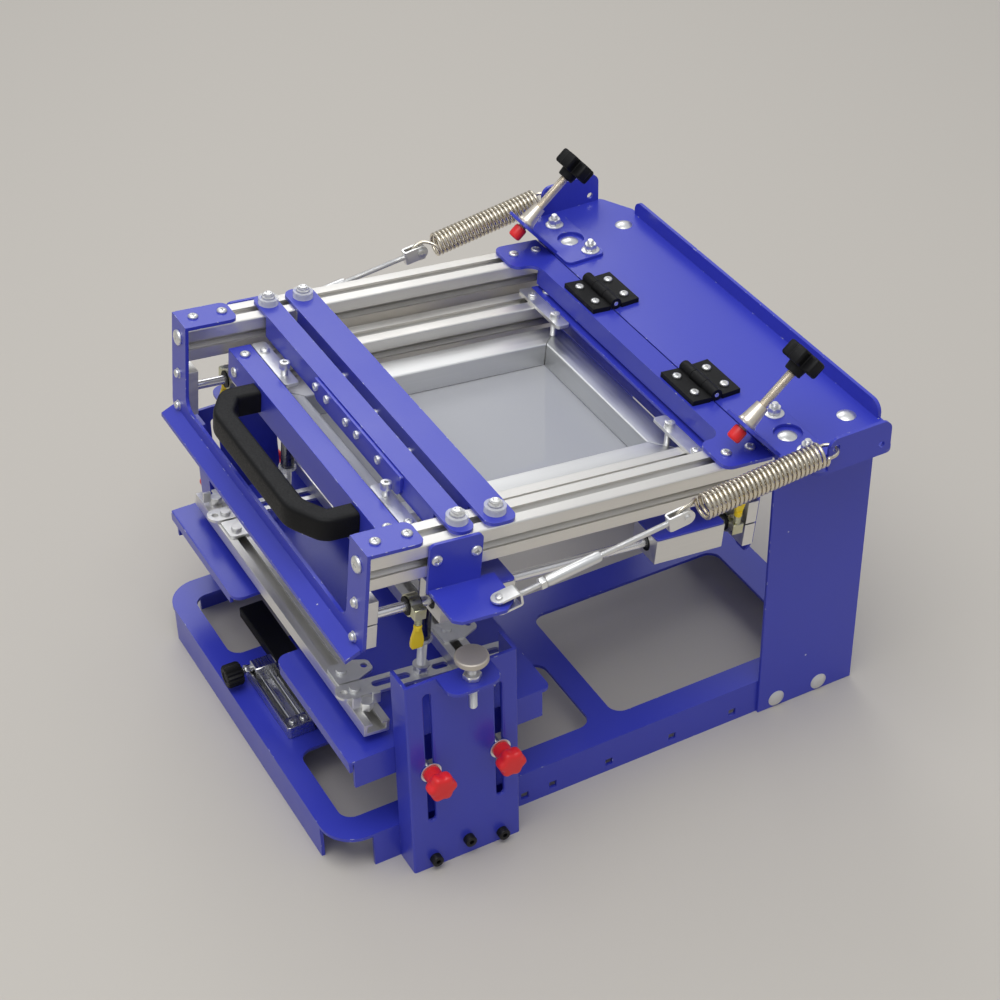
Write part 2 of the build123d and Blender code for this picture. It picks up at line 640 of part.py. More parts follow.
def front_panel():
    """Sheet with two legs, a sill between them, a lip folded forwards and two top flanges."""
    outer, inner = ARM_RAIL_X + RAIL / 2, ARM_RAIL_X - RAIL / 2
    corners = [(-outer, PANEL_LEG_BOTTOM), (outer, PANEL_LEG_BOTTOM), (outer, ARM_TOP), (inner, ARM_TOP),
               (inner, PANEL_SILL), (-inner, PANEL_SILL), (-inner, ARM_TOP), (-outer, ARM_TOP)]
    face = outline(corners, [8, 8, 0.5, 0.5, 12, 12, 0.5, 0.5])
    body = extrude(Plane.XZ.offset(-PANEL_Y - SHEET) * face, SHEET)
    flange = outline([(inner, PANEL_Y + SHEET), (outer, PANEL_Y + SHEET), (outer, PANEL_Y + PANEL_TOP_FLANGE),
                      (inner, PANEL_Y + PANEL_TOP_FLANGE)], [0.5, 0.5, 7, 7])
    for piece in pair(plate(flange, ARM_RAIL_TOP, ARM_TOP)):
        body += piece
    lip = [(PANEL_Y + 1, PANEL_LEG_BOTTOM + 3.5), (PANEL_Y + 1, PANEL_LEG_BOTTOM),
           (PANEL_Y - 12, PANEL_LEG_BOTTOM - 6.5),
           (PANEL_Y - 12, PANEL_LEG_BOTTOM - 3), (PANEL_Y, PANEL_LEG_BOTTOM + 3.5)]
    body += extrude(Plane.YZ.offset(-outer + 4) * make_face(Polyline(*lip, close=True)), 2 * outer - 8)
    return body


def rear_leg():
    """Plate bolted to the rail's rear end, which carries the guide rod's rear support."""
    inner, outer = ARM_RAIL_X - RAIL / 2, BASE_HALF - 2
    corners = [(inner + 6, 180), (outer - 6, 180), (outer, 192), (outer, ARM_RAIL_TOP - 1),
               (inner, ARM_RAIL_TOP - 1),
               (inner, 192)]
    return extrude(Plane.XZ.offset(-REAR_LEG_Y - SHEET) * outline(corners, 3), SHEET)


def rod_support(y_low):
    """Flange block bolted to a leg, bored for the end of the guide rod."""
    half = SUPPORT_HEIGHT / 2
    body = block((ARM_RAIL_X - SUPPORT_WIDTH / 2, ARM_RAIL_X + SUPPORT_WIDTH / 2),
                 (y_low, y_low + SUPPORT_THICK),
                 (GUIDE_Z - half, GUIDE_Z + half))
    body -= rod((ARM_RAIL_X, y_low - 1, GUIDE_Z), (ARM_RAIL_X, y_low + SUPPORT_THICK + 1, GUIDE_Z),
                GUIDE_ROD + 0.01)
    body -= block((ARM_RAIL_X, ARM_RAIL_X + SUPPORT_WIDTH), (y_low - 1, y_low + SUPPORT_THICK + 1),
                  (GUIDE_Z - 0.6, GUIDE_Z + 0.6))
    return body


def hinge_bar():
    """Strip under the front hinge leaves, with an ear over each rail and a skirt in front."""
    front, rear = HINGE_BAR
    ear_in, ear_out = HINGE_BAR_EAR
    ear_front = HINGE_BAR_EAR_FRONT
    corners = [(-ear_out, rear), (-ear_out, ear_front), (-ear_in, ear_front), (-ear_in, front),
               (ear_in, front), (ear_in, ear_front), (ear_out, ear_front), (ear_out, rear)]
    body = plate(outline(corners, [1, 9, 9, 13, 13, 9, 9, 1]), ARM_RAIL_TOP, ARM_TOP)
    return body + block((-ear_in + 4, ear_in - 4), (front, front + SHEET),
                        (ARM_TOP - SHEET - HINGE_BAR_SKIRT, ARM_RAIL_TOP))


def spring_bracket():
    """Z-shaped bracket: upright on the rail's outer face, shelf folded out for the spring's link."""
    face = ARM_RAIL_X + RAIL / 2
    low, high = BRACKET_Y
    upright = block((face, face + SHEET), (low, high), (SHELF_Z - SHEET, ARM_RAIL_TOP + 0.5))
    upright = fillet(upright.edges().filter_by(Axis.X).group_by(Axis.Z)[-1], 5)
    shelf = outline([(face + 0.5, low + 1), (SHELF_OUT - 5, low + 1), (SHELF_OUT, low + 7),
                     (SHELF_OUT, SHELF_PIN_Y),
                     (SHELF_OUT - 10, low + 56), (face + 0.5, low + 58)], [0.5, 2, 2, 3, 3, 0.5])
    body = upright + plate(shelf, SHELF_Z - SHEET, SHELF_Z)
    return body - rod((SPRING_X, SHELF_PIN_Y, SHELF_Z - 9), (SPRING_X, SHELF_PIN_Y, SHELF_Z + 9), SHELF_HOLE)


save_arm("arm_rails", [rail(x, ARM_RAIL_TOP - RAIL, RAIL_Y) for x in (-ARM_RAIL_X, ARM_RAIL_X)])
save_arm("front_panel", front_panel())
save_arm("rear_legs", pair(rear_leg()))
save_arm("hinge_bar", hinge_bar())
save_arm("spring_brackets", pair(spring_bracket()))
save_arm("guide_rods",
         pair(rod((ARM_RAIL_X, RAIL_Y[0], GUIDE_Z), (ARM_RAIL_X, RAIL_Y[1], GUIDE_Z), GUIDE_ROD)))
save_arm("rod_supports", pair(rod_support(RAIL_Y[0])), pair(rod_support(RAIL_Y[1] - SUPPORT_THICK)))

arm_fasteners = []
for screw_y in (55.1, 81.3):
    arm_fasteners += pair(pan_head((174.4, screw_y, ARM_TOP), UP))
arm_fasteners += pair(pan_head((ARM_RAIL_X, PANEL_Y, 266), FORWARD, 7, 3))
for shift in (-SUPPORT_BOLTS / 2, SUPPORT_BOLTS / 2):
    arm_fasteners += pair(pan_head((ARM_RAIL_X, PANEL_Y, GUIDE_Z + shift), FORWARD, 4.5, 4))
for hinge_x in (-HINGE_X, HINGE_X):
    for offset in (-HINGE_SCREW_X, HINGE_SCREW_X):
        place = (hinge_x + offset, HINGE_Y - HINGE_SCREW_Y, ARM_TOP + HINGE_LEAF_THICK)
        arm_fasteners.append(pan_head(place, UP, 4))
for screw_y in HINGE_BAR_SCREWS:
    arm_fasteners += pair(pan_head((ARM_RAIL_X, screw_y, ARM_TOP), UP))
for screw_y in (98, 131):
    arm_fasteners += pair(pan_head((ARM_RAIL_X + RAIL / 2 + SHEET, screw_y, 266), OUT))
save_arm("arm_fasteners", arm_fasteners)


# ---- hose clamps with thumb keys, which limit the carriage's travel --------------------
def hose_clamp(y_low, key_down):
    """Band round the guide rod with its worm housing and flat yellow key."""
    y_high = y_low + 12
    middle = y_low + 6
    way = -1 if key_down else 1
    band = rod((ARM_RAIL_X, y_low, GUIDE_Z), (ARM_RAIL_X, y_high, GUIDE_Z), 9)
    band += block((ARM_RAIL_X + 4, ARM_RAIL_X + 15), (y_low, y_high), (GUIDE_Z - 5, GUIDE_Z + 5))
    screw = rod((ARM_RAIL_X + 11.5, middle, GUIDE_Z + way * 5),
                (ARM_RAIL_X + 11.5, middle, GUIDE_Z + way * 11), 3)
    key = block((ARM_RAIL_X + 10, ARM_RAIL_X + 13), (middle - 6, middle + 6),
                (GUIDE_Z + way * 11, GUIDE_Z + way * 29))
    key = fillet(key.edges().filter_by(Axis.X), 2.5)
    band -= rod((ARM_RAIL_X, y_low - 1, GUIDE_Z), (ARM_RAIL_X, y_high + 1, GUIDE_Z), GUIDE_ROD + FIT)
    return [band + screw, key]


for place, clamp_y, downwards in (("front", 83.5, True), ("rear", 371.0, False)):
    clamp = hose_clamp(clamp_y, downwards)
    save_arm(f"hose_clamp_right_{place}", clamp)
    save_arm(f"hose_clamp_left_{place}", [mirror(solid, Plane.YZ) for solid in clamp])


# ---- squeegee bar and rear bar across the arm rails -------------------------------------
def crossbar(limits, skirt):
    """Angle bar: flat on the rails, skirt folded down between them."""
    front, rear = limits
    half = BAR_HALF
    body = plate(rectangle((-half, half), (front, rear), 9), ARM_RAIL_TOP, ARM_TOP)
    reach = ARM_RAIL_X - RAIL / 2 - 4
    body += block((-reach, reach), (front, front + SHEET), (ARM_RAIL_TOP - skirt, ARM_RAIL_TOP))
    return body


def bar_bolt(y):
    """Socket screw, knurled nut and clear washer at the end of a crossbar."""
    x = BAR_BOLT_X
    washer = rod((x, y, ARM_TOP), (x, y, ARM_TOP + 1.6), 8.5)
    nut = extrude(Plane.XY.offset(ARM_TOP + 1.6) * Pos(x, y) * RegularPolygon(5.4, 10), 6)
    head = rod((x, y, ARM_TOP + 7.6), (x, y, BAR_BOLT_TOP), 4)
    shank = rod((x, y, ARM_RAIL_TOP - 8), (x, y, ARM_TOP), 3)
    return washer + nut + head + shank


def bar_with_holes(limits, skirt):
    """Crossbar drilled for its two rail bolts."""
    middle = sum(limits) / 2
    body = crossbar(limits, skirt)
    for x in (-BAR_BOLT_X, BAR_BOLT_X):
        body -= rod((x, middle, ARM_RAIL_TOP - 1), (x, middle, ARM_TOP + 1), 3)
    return body


def bar_bolts(limits, places, height, face_y):
    """Rail bolts at the ends and button heads on the skirt."""
    found = pair(bar_bolt(sum(limits) / 2))
    for x in places:
        found.append(pan_head((x, face_y, height), FORWARD, 3.5, 2.5))
    return found


holder_face = FRONT_BAR[0] - SHEET
holder_corners = [(HOLDER_X[0], HOLDER_Z[0]), (HOLDER_X[1], HOLDER_Z[0]), (HOLDER_X[1], HOLDER_Z[1]),
                  (HOLDER_X[0], HOLDER_Z[1])]
holder = extrude(Plane.XZ.offset(-FRONT_BAR[0]) * outline(holder_corners, [8, 8, 1, 1]), SHEET)
save_arm("squeegee_bar", bar_with_holes(FRONT_BAR, BAR_SKIRT_FRONT))
save_arm("squeegee_holder", holder)
save_arm("squeegee_bar_bolts", bar_bolts(FRONT_BAR, HOLDER_BOLTS, 275, holder_face))
save_arm("rear_bar", bar_with_holes(REAR_BAR, BAR_SKIRT_REAR))
save_arm("rear_bar_bolts", bar_bolts(REAR_BAR, REAR_BAR_BOLTS, 269, REAR_BAR[0]))


# ---- carriage on the guide rods ------------------------------------------------------------
def carriage_angle(front):
    """Angle sheet across the ends of the carriage rails."""
    half = CARRIAGE_RAIL_X + RAIL / 2
    face = CARRIAGE_FRONT if front else CARRIAGE_REAR
    way = 1 if front else -1
    wide = CARRIAGE_FLANGES[0] if front else CARRIAGE_FLANGES[1]
    skirt = block((-half, half), (face, face + way * SHEET), (CARRIAGE_TOP - CARRIAGE_SKIRT, CARRIAGE_TOP))
    flange = block((-half, half), (face, face + way * wide), (CARRIAGE_TOP, CARRIAGE_TOP + SHEET))
    return skirt + flange


def bearing_block(y):
    """Aluminium block with a linear bearing in it."""
    width, length, height = BLOCK_SIZE
    low, high = y - length / 2, y + length / 2
    body = block((ARM_RAIL_X - width / 2, ARM_RAIL_X + width / 2), (low, high),
                 (GUIDE_Z - height / 2, BLOCK_TOP))
    body -= rod((ARM_RAIL_X, low - 1, GUIDE_Z), (ARM_RAIL_X, high + 1, GUIDE_Z), GUIDE_ROD + FIT)
    for start, end in ((low - 1, low + 1.5), (high - 1.5, high + 1)):
        body -= rod((ARM_RAIL_X, start, GUIDE_Z), (ARM_RAIL_X, end, GUIDE_Z), 7.5)
    return body


def block_plate(y):
    """Thin plate that joins a bearing block to the carriage rail above it."""
    length = BLOCK_SIZE[1]
    reach = (BLOCK_PLATE_INNER, ARM_RAIL_X + BLOCK_SIZE[0] / 2)
    return plate(rectangle(reach, (y - length / 2, y + length / 2), 3), BLOCK_TOP, BLOCK_TOP + BLOCK_PLATE)


def handle():
    """Moulded grip with two legs that run out and slope in to a straight bar."""
    left, right = HANDLE_SPAN
    flat_left, flat_right = HANDLE_FLAT
    back, shoulder, front = CARRIAGE_FRONT, CARRIAGE_FRONT - HANDLE_CORNER, CARRIAGE_FRONT - HANDLE_REACH
    outer = outline([(left, back), (left, shoulder), (flat_left, front), (flat_right, front),
                     (right, shoulder),
                     (right, back)], [0.5, 9, 9, 9, 9, 0.5])
    bar = HANDLE_BAR
    inner = outline([(left + bar, back + 1), (left + bar, shoulder + 7), (flat_left + 5, front + bar),
                     (flat_right - 5, front + bar), (right - bar, shoulder + 7), (right - bar, back + 1)],
                    [0.5, 5, 5, 5, 5, 0.5])
    return plate(outer - inner, *HANDLE_Z)


def screen_frame():
    """Welded frame of square tube."""
    def ring(inset, wide, z):
        outer = block((-FRAME_HALF + inset, FRAME_HALF - inset), (FRAME_Y[0] + inset, FRAME_Y[1] - inset), z)
        reach = inset + wide
        return outer - block((-FRAME_HALF + reach, FRAME_HALF - reach),
                             (FRAME_Y[0] + reach, FRAME_Y[1] - reach),
                             (z[0] - 1, z[1] + 1))

    bottom = FRAME_TOP - FRAME_DEEP
    body = ring(0, FRAME_TUBE, (bottom, FRAME_TOP))
    return body - ring(FRAME_WALL, FRAME_TUBE - 2 * FRAME_WALL, (bottom + FRAME_WALL, FRAME_TOP - FRAME_WALL))


def frame_strap(y):
    """Plated strap from the carriage rail to over the frame."""
    corners = rectangle(STRAP_X, (y - STRAP_WIDTH / 2, y + STRAP_WIDTH / 2), 3)
    body = plate(corners, CARRIAGE_TOP, CARRIAGE_TOP + SHEET)
    return body - rod((95, y, CARRIAGE_TOP - 1), (95, y, CARRIAGE_TOP + SHEET + 1), 3)


frame_bottom = FRAME_TOP - FRAME_DEEP
carriage_y = (CARRIAGE_FRONT + SHEET, CARRIAGE_REAR - SHEET)
save_arm("carriage_rails",
         [rail(x, CARRIAGE_RAIL_BOTTOM, carriage_y) for x in (-CARRIAGE_RAIL_X, CARRIAGE_RAIL_X)])
save_arm("carriage_front", carriage_angle(True))
save_arm("carriage_rear", carriage_angle(False))
save_arm("bearing_blocks", [pair(bearing_block(y)) for y in BLOCK_CENTRES])
save_arm("block_plates", [pair(block_plate(y)) for y in BLOCK_CENTRES])
save_arm("handle", handle())
save_arm("screen_frame", screen_frame())
save_arm("screen_mesh", block((-FRAME_HALF + 4, FRAME_HALF - 4), (FRAME_Y[0] + 4, FRAME_Y[1] - 4),
                              (frame_bottom - MESH, frame_bottom)))
save_arm("frame_straps", [pair(frame_strap(y)) for y in STRAP_Y])

carriage_fasteners = []
for strap_y, bolt_top in zip(STRAP_Y, STRAP_BOLT_TOP):
    head_bottom = max(bolt_top - 6, CARRIAGE_TOP + SHEET)
    bolt = rod((95, strap_y, FRAME_TOP), (95, strap_y, head_bottom), 3)
    bolt += rod((95, strap_y, head_bottom), (95, strap_y, bolt_top), 4.5)
    carriage_fasteners += pair(bolt)
    carriage_fasteners += pair(pan_head((CARRIAGE_RAIL_X, strap_y, CARRIAGE_TOP + SHEET), UP, 4.2))
for screw_y in (CARRIAGE_FRONT + 9, CARRIAGE_REAR - 9):
    carriage_fasteners += pair(pan_head((CARRIAGE_RAIL_X, screw_y, CARRIAGE_TOP + SHEET), UP))
carriage_fasteners += pair(pan_head((CARRIAGE_RAIL_X, CARRIAGE_FRONT, 246), FORWARD))
save_arm("carriage_fasteners", carriage_fasteners)


# ---- frame that hangs under the carriage -----------------------------------------------------
def lower_rail(y, bottom):
    """Flat rail along X with a wide slot in its top."""
    half = LOWER_RAIL_WIDE / 2
    top = bottom + LOWER_RAIL_HIGH
    floor = bottom + 3
    section = [(y - half, bottom), (y + half, bottom), (y + half, top), (y + 4, top), (y + 4, top - 2),
               (y + 8, top - 2),
               (y + 8, floor), (y - 8, floor), (y - 8, top - 2), (y - 4, top - 2), (y - 4, top),
               (y - half, top)]
    face = make_face(Polyline(*section, close=True))
    return extrude(Plane.YZ.offset(-LOWER_RAIL_HALF) * face, 2 * LOWER_RAIL_HALF)


def lower_strap():
    """Slotted plated strap along Y, round at both ends, that ties the two lower rails."""
    low, high = LOWER_STRAP_Y
    half = LOWER_STRAP_WIDE / 2
    x = LOWER_STRAP_X
    face = Pos(x, (low + high) / 2) * SlotOverall(high - low, 2 * half, rotation=90)
    face -= Pos(x, low + 7) * Circle(3)
    for start, end in ((82, 116), (136, 150), (178, 198)):
        face -= Pos(x, (start + end) / 2) * SlotOverall(end - start, 7, rotation=90)
    face -= Pos(x, POST_Y) * Circle(POST + 0.02)
    return plate(face, LOWER_STRAP_Z, LOWER_STRAP_Z + LOWER_STRAP)


def gusset(y, level):
    """Plated corner plate screwed on a lower rail, with a drilled lobe behind it."""
    corners = [(96, y - 9), (120, y - 9), (120, y + 9), (112, y + 26), (100, y + 26), (96, y + 14)]
    face = outline(corners, [4, 1, 1, 5, 5, 5]) - Pos(106, y + 20) * Circle(2.8)
    return plate(face, level, level + 2)


def post():
    """Stud with its sleeve, hung from the carriage rail and nutted to the strap."""
    x, y = LOWER_STRAP_X, POST_Y
    # The tilted stud's lowest edge stops a hair above the table, which it rests on.
    drop = TABLE_TOP + GAP + POST * SINE - HINGE_Z - (HINGE_Y - y) * SINE
    end = HINGE_Z + drop / COSINE
    stud = rod((x, y, end), (x, y, POST_SLEEVE_BOTTOM), POST)
    sleeve = rod((x, y, POST_SLEEVE_BOTTOM), (x, y, BLOCK_TOP), POST_SLEEVE)
    washer = rod((x, y, POST_SLEEVE_BOTTOM - 2), (x, y, POST_SLEEVE_BOTTOM), POST_SLEEVE + 2)
    top = LOWER_STRAP_Z + LOWER_STRAP
    upper = hexagon((x, y, top), (x, y, top + 6), 12) + rod((x, y, top + 6), (x, y, top + 8), 7)
    lower = hexagon((x, y, LOWER_STRAP_Z - 6), (x, y, LOWER_STRAP_Z), 12)
    return stud + sleeve + washer + upper + lower


strap_top = LOWER_STRAP_Z + LOWER_STRAP
front_rail_y, rear_rail_y = LOWER_RAIL_Y
save_arm("lower_rails", lower_rail(front_rail_y, LOWER_STRAP_Z - LOWER_RAIL_HIGH),
         lower_rail(rear_rail_y, strap_top))
save_arm("lower_straps", pair(lower_strap()), pair(gusset(front_rail_y, LOWER_STRAP_Z)),
         pair(gusset(rear_rail_y, strap_top + LOWER_RAIL_HIGH)))
save_arm("lower_posts", pair(post()))
lower_nuts = []
for nut_x, nut_y, level in ((LOWER_STRAP_X, front_rail_y, strap_top), (106, front_rail_y, LOWER_STRAP_Z + 2),
                            (106, rear_rail_y, strap_top + LOWER_RAIL_HIGH + 2)):
    lower_nuts += pair(pan_head((nut_x, nut_y, level), UP, 4.5))
wing = hexagon((152, front_rail_y, LOWER_STRAP_Z), (152, front_rail_y, LOWER_STRAP_Z + 7), 10)
wing += block((150.8, 153.2), (front_rail_y - 12, front_rail_y + 12),
              (LOWER_STRAP_Z + 3, LOWER_STRAP_Z + 13)) - block(
    (149, 155), (front_rail_y - 5, front_rail_y + 5), (LOWER_STRAP_Z + 7, LOWER_STRAP_Z + 14))
lower_nuts += pair(wing)
save_arm("lower_fasteners", lower_nuts)


# ---- springs and their links, between the arm's shelf and the deck's ear --------------------
pin_y = HINGE_Y + (SHELF_PIN_Y - HINGE_Y) * COSINE + (SHELF_Z - SHEET / 2 - HINGE_Z) * SINE
pin_z = HINGE_Z - (SHELF_PIN_Y - HINGE_Y) * SINE + (SHELF_Z - SHEET / 2 - HINGE_Z) * COSINE
FRONT_PIN = Vector(SPRING_X, pin_y, pin_z)
EAR_HOLE = Vector(TOP_HALF - SHEET / 2, EAR_HOLE_Y, EAR_HOLE_Z)
LINE_WAY = (Vector(0, EAR_HOLE_Y, EAR_HOLE_Z) - Vector(0, pin_y, pin_z)).normalized()
LINE_UP = Vector(0, -LINE_WAY.Z, LINE_WAY.Y)
LINE_OUT = Vector(1, 0, 0)
LINE_LENGTH = math.hypot(EAR_HOLE_Y - pin_y, EAR_HOLE_Z - pin_z)


def on_line(distance, out=0.0, up=0.0):
    """Point beside the line from the shelf's pin to the ear's hole."""
    return FRONT_PIN + LINE_WAY * distance + LINE_OUT * out + LINE_UP * up


def biarc(start, way_in, end, way_out):
    """Two arcs that leave start along way_in and reach end along way_out."""
    chord, ways = end - start, way_in + way_out
    spread = 2 * (1 - way_in.dot(way_out))
    if spread < 1e-6:
        reach = chord.dot(chord) / (4 * chord.dot(way_out))
    else:
        reach = (-chord.dot(ways) + math.sqrt(chord.dot(ways) ** 2 + spread * chord.dot(chord))) / spread
    middle = ((start + way_in * reach) + (end - way_out * reach)) / 2
    across = ((end - way_out * reach) - (start + way_in * reach)).normalized()
    return [TangentArc(start, middle, tangent=way_in), TangentArc(middle, end, tangent=across)]


def least_gap(edges):
    """Least clear distance between places of the wire that lie over a third of a coil apart."""
    places = []
    run = 0
    for edge in edges:
        for step in range(GAP_SAMPLES):
            places.append((run + edge.length * step / GAP_SAMPLES, tuple(edge @ (step / GAP_SAMPLES))))
        run += edge.length
    apart = math.pi * SPRING_OUTER / 3
    centres = [math.dist(here, there) for index, (at, here) in enumerate(places)
               for to, there in places[index + 1:] if to - at > apart]
    return min(centres) - SPRING_WIRE


def spring_line():
    """Arcs and lines along the wire: hook round the link's pin, coils, hook in the ear."""
    coil = (SPRING_OUTER - SPRING_WIRE) / 2
    rear_pin = (SPRING_FRONT_Y - pin_y) / LINE_WAY.Y
    shift = EAR_HOLE.X - SPRING_X
    length = SPRING_COILS * SPRING_PITCH
    start = rear_pin + (LINE_LENGTH - rear_pin - length) / 2
    # Quarter turns of the helix, each a point and the direction of the wire there.
    stations = []
    steps = 4 * SPRING_COILS
    slope = SPRING_PITCH / (2 * math.pi * coil)
    for step in range(steps + 1):
        angle = math.pi / 2 * step
        drift = shift * step / steps
        place = on_line(start + length * step / steps, coil * math.cos(angle) + drift, coil * math.sin(angle))
        way = LINE_OUT * -math.sin(angle) + LINE_UP * math.cos(angle) + LINE_WAY * slope
        stations.append((place, way.normalized()))
    hook = HOOK_RADIUS
    # Front hook: round the pin in the upright plane, then up to the first coil.
    nose = [on_line(rear_pin + 4, 0, -hook), on_line(rear_pin, 0, -hook), on_line(rear_pin, 0, hook)]
    lead = on_line(rear_pin + 3.5, 0, hook)
    edges = [Line(nose[0], nose[1])]
    edges += [ThreePointArc(nose[1], on_line(rear_pin - hook, 0, 0), nose[2])]
    edges += [Line(nose[2], lead)]
    edges += biarc(lead, LINE_WAY, *stations[2])
    for (near, way_near), (far, way_far) in zip(stations[2:-2:2], stations[4::2]):
        edges += biarc(near, way_near, far, way_far)
    # Rear hook: out of the last coil and through the ear's hole across the line.
    out = LINE_LENGTH - hook
    tail = [on_line(out - 0.5, shift + hook, 0), on_line(out, shift + hook, 0), on_line(out, shift - hook, 0),
            on_line(out - 4, shift - hook, 0)]
    edges += biarc(*stations[-1], tail[0], LINE_WAY)
    edges += [Line(tail[0], tail[1])]
    edges += [ThreePointArc(tail[1], on_line(out + hook, shift, 0), tail[2])]
    edges += [Line(tail[2], tail[3])]
    return edges


def spring(edges):
    """Extension spring as one wire swept along its line."""
    path = Wire(edges)
    section = Plane(origin=path @ 0, z_dir=path % 0) * Circle(SPRING_WIRE / 2)
    return sweep(section, path=path)


def clevis(distance, way, upright):
    """Fork at one end of the link, its ears above and below a shelf or beside a hook."""
    half = CLEVIS_WIDTH / 2
    inner = 4.3 if upright else 2.2
    thick = CLEVIS_EAR
    length = 14
    plane_x = LINE_WAY * way
    face = Pos(length / 2, 0) * Rectangle(length, 2 * half) + Circle(half)
    face -= Circle(PIN)
    pieces = []
    across = LINE_UP if upright else LINE_OUT
    for side in (-1, 1):
        start = inner if side > 0 else -inner - thick
        plane = Plane(origin=on_line(distance) + across * start, x_dir=plane_x, z_dir=across)
        pieces.append(extrude(plane * face, thick))
    bridge_plane = Plane(origin=on_line(distance) + plane_x * length, x_dir=across, z_dir=plane_x)
    bridge = extrude(bridge_plane * Rectangle(2 * (inner + thick), 2 * half), 3)
    body = pieces[0] + pieces[1] + bridge
    pin_reach = inner + thick + 1.5
    pin = rod(tuple(on_line(distance) - across * pin_reach), tuple(on_line(distance) + across * pin_reach),
              PIN)
    return body, pin


def spring_link():
    """Turnbuckle: front fork on the shelf, threaded rods into a tube, rear fork for the hook."""
    rear_pin = (SPRING_FRONT_Y - pin_y) / LINE_WAY.Y
    tube_start, tube_end = [(y - pin_y) / LINE_WAY.Y for y in TURN_TUBE]
    front_fork, front_pin = clevis(0, 1, True)
    rear_fork, far_pin = clevis(rear_pin, -1, False)
    front_rod = rod(tuple(on_line(17)), tuple(on_line(tube_start)), 2.5)
    rear_rod = rod(tuple(on_line(tube_end)), tuple(on_line(rear_pin - 17)), 2.5)
    tube = rod(tuple(on_line(tube_start)), tuple(on_line(tube_end)), 4.5)
    nut = hexagon(tuple(on_line(tube_start - 5)), tuple(on_line(tube_start)), 9)
    return [front_fork + front_rod + nut, tube, rear_fork + rear_rod, front_pin, far_pin]


wire_line = spring_line()
print(f"spring: least gap to itself {least_gap(wire_line):.2f} mm")
right_spring = spring(wire_line)
save("spring_right", right_spring)
save("spring_left", mirror(right_spring, Plane.YZ))
save("spring_link_right", spring_link())
save("spring_link_left", [mirror(solid, Plane.YZ) for solid in spring_link()])
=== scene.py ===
import json
import math

import bmesh
import bpy
import numpy as np
from mathutils import Matrix, Vector


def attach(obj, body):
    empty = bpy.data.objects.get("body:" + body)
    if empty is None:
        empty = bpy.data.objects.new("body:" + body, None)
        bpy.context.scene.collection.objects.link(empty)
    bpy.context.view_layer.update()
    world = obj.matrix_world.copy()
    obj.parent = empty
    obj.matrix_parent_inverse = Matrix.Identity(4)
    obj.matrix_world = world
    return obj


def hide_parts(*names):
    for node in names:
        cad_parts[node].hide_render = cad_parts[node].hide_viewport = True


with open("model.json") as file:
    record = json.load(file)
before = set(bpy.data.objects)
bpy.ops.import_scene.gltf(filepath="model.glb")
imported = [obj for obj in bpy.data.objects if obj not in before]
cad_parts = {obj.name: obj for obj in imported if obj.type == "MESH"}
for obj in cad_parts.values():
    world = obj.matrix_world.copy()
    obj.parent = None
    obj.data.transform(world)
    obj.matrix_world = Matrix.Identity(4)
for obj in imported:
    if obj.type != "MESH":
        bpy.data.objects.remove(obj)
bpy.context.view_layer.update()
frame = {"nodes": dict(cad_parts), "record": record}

# ---- Viewpoint --------------------------------------------------------------------
# The press stands on the floor and is seen from above, over its front right corner.
# The camera has no shift and no depth of field.
view_from = (1.3380, -0.4547, 1.3300)
view_right = (0.47835752, 0.87801419, -0.01628397)
view_down = (0.52923839, -0.30303657, -0.79251219)
view_ahead = (-0.70077158, 0.37048607, -0.60963864)
camera_data = bpy.data.cameras.new("camera")
camera_data.sensor_width = 36.0
camera_data.lens = 79.88
camera_data.clip_end = 50.0
camera = bpy.data.objects.new("camera", camera_data)
bpy.context.scene.collection.objects.link(camera)
camera.matrix_world = Matrix((
    (view_right[0], -view_down[0], -view_ahead[0], view_from[0]),
    (view_right[1], -view_down[1], -view_ahead[1], view_from[1]),
    (view_right[2], -view_down[2], -view_ahead[2], view_from[2]),
    (0, 0, 0, 1)))
bpy.context.scene.camera = camera
bpy.context.scene.view_settings.view_transform = "Standard"

# ---- Light ------------------------------------------------------------------------
# A pale room lights the press evenly from all round, a little darker towards the floor
# line. One wide lamp hangs over the operator's side, and one smaller lamp fills in.
world = bpy.data.worlds.new("room")
bpy.context.scene.world = world
world.use_nodes = True
room = world.node_tree.nodes
room.clear()
room_links = world.node_tree.links
sky_place = room.new("ShaderNodeTexCoord")
sky_height = room.new("ShaderNodeSeparateXYZ")
sky_ramp = room.new("ShaderNodeValToRGB")
sky_ramp.color_ramp.elements[0].position = 0.42
sky_ramp.color_ramp.elements[0].color = (0.30, 0.29, 0.28, 1)
sky_ramp.color_ramp.elements[1].position = 0.75
sky_ramp.color_ramp.elements[1].color = (0.86, 0.88, 0.92, 1)
sky_scale = room.new("ShaderNodeMapRange")
sky_scale.inputs["From Min"].default_value = -1.0
sky_light = room.new("ShaderNodeBackground")
sky_light.inputs["Strength"].default_value = 0.62
sky_seen = room.new("ShaderNodeBackground")
sky_seen.inputs["Color"].default_value = (0.86, 0.88, 0.90, 1)
sky_mix = room.new("ShaderNodeMixShader")
sky_path = room.new("ShaderNodeLightPath")
sky_out = room.new("ShaderNodeOutputWorld")
room_links.new(sky_place.outputs["Generated"], sky_height.inputs[0])
room_links.new(sky_height.outputs["Z"], sky_scale.inputs["Value"])
room_links.new(sky_scale.outputs["Result"], sky_ramp.inputs["Fac"])
room_links.new(sky_ramp.outputs["Color"], sky_light.inputs["Color"])
room_links.new(sky_path.outputs["Is Camera Ray"], sky_mix.inputs["Fac"])
room_links.new(sky_light.outputs[0], sky_mix.inputs[1])
room_links.new(sky_seen.outputs[0], sky_mix.inputs[2])
room_links.new(sky_mix.outputs[0], sky_out.inputs["Surface"])
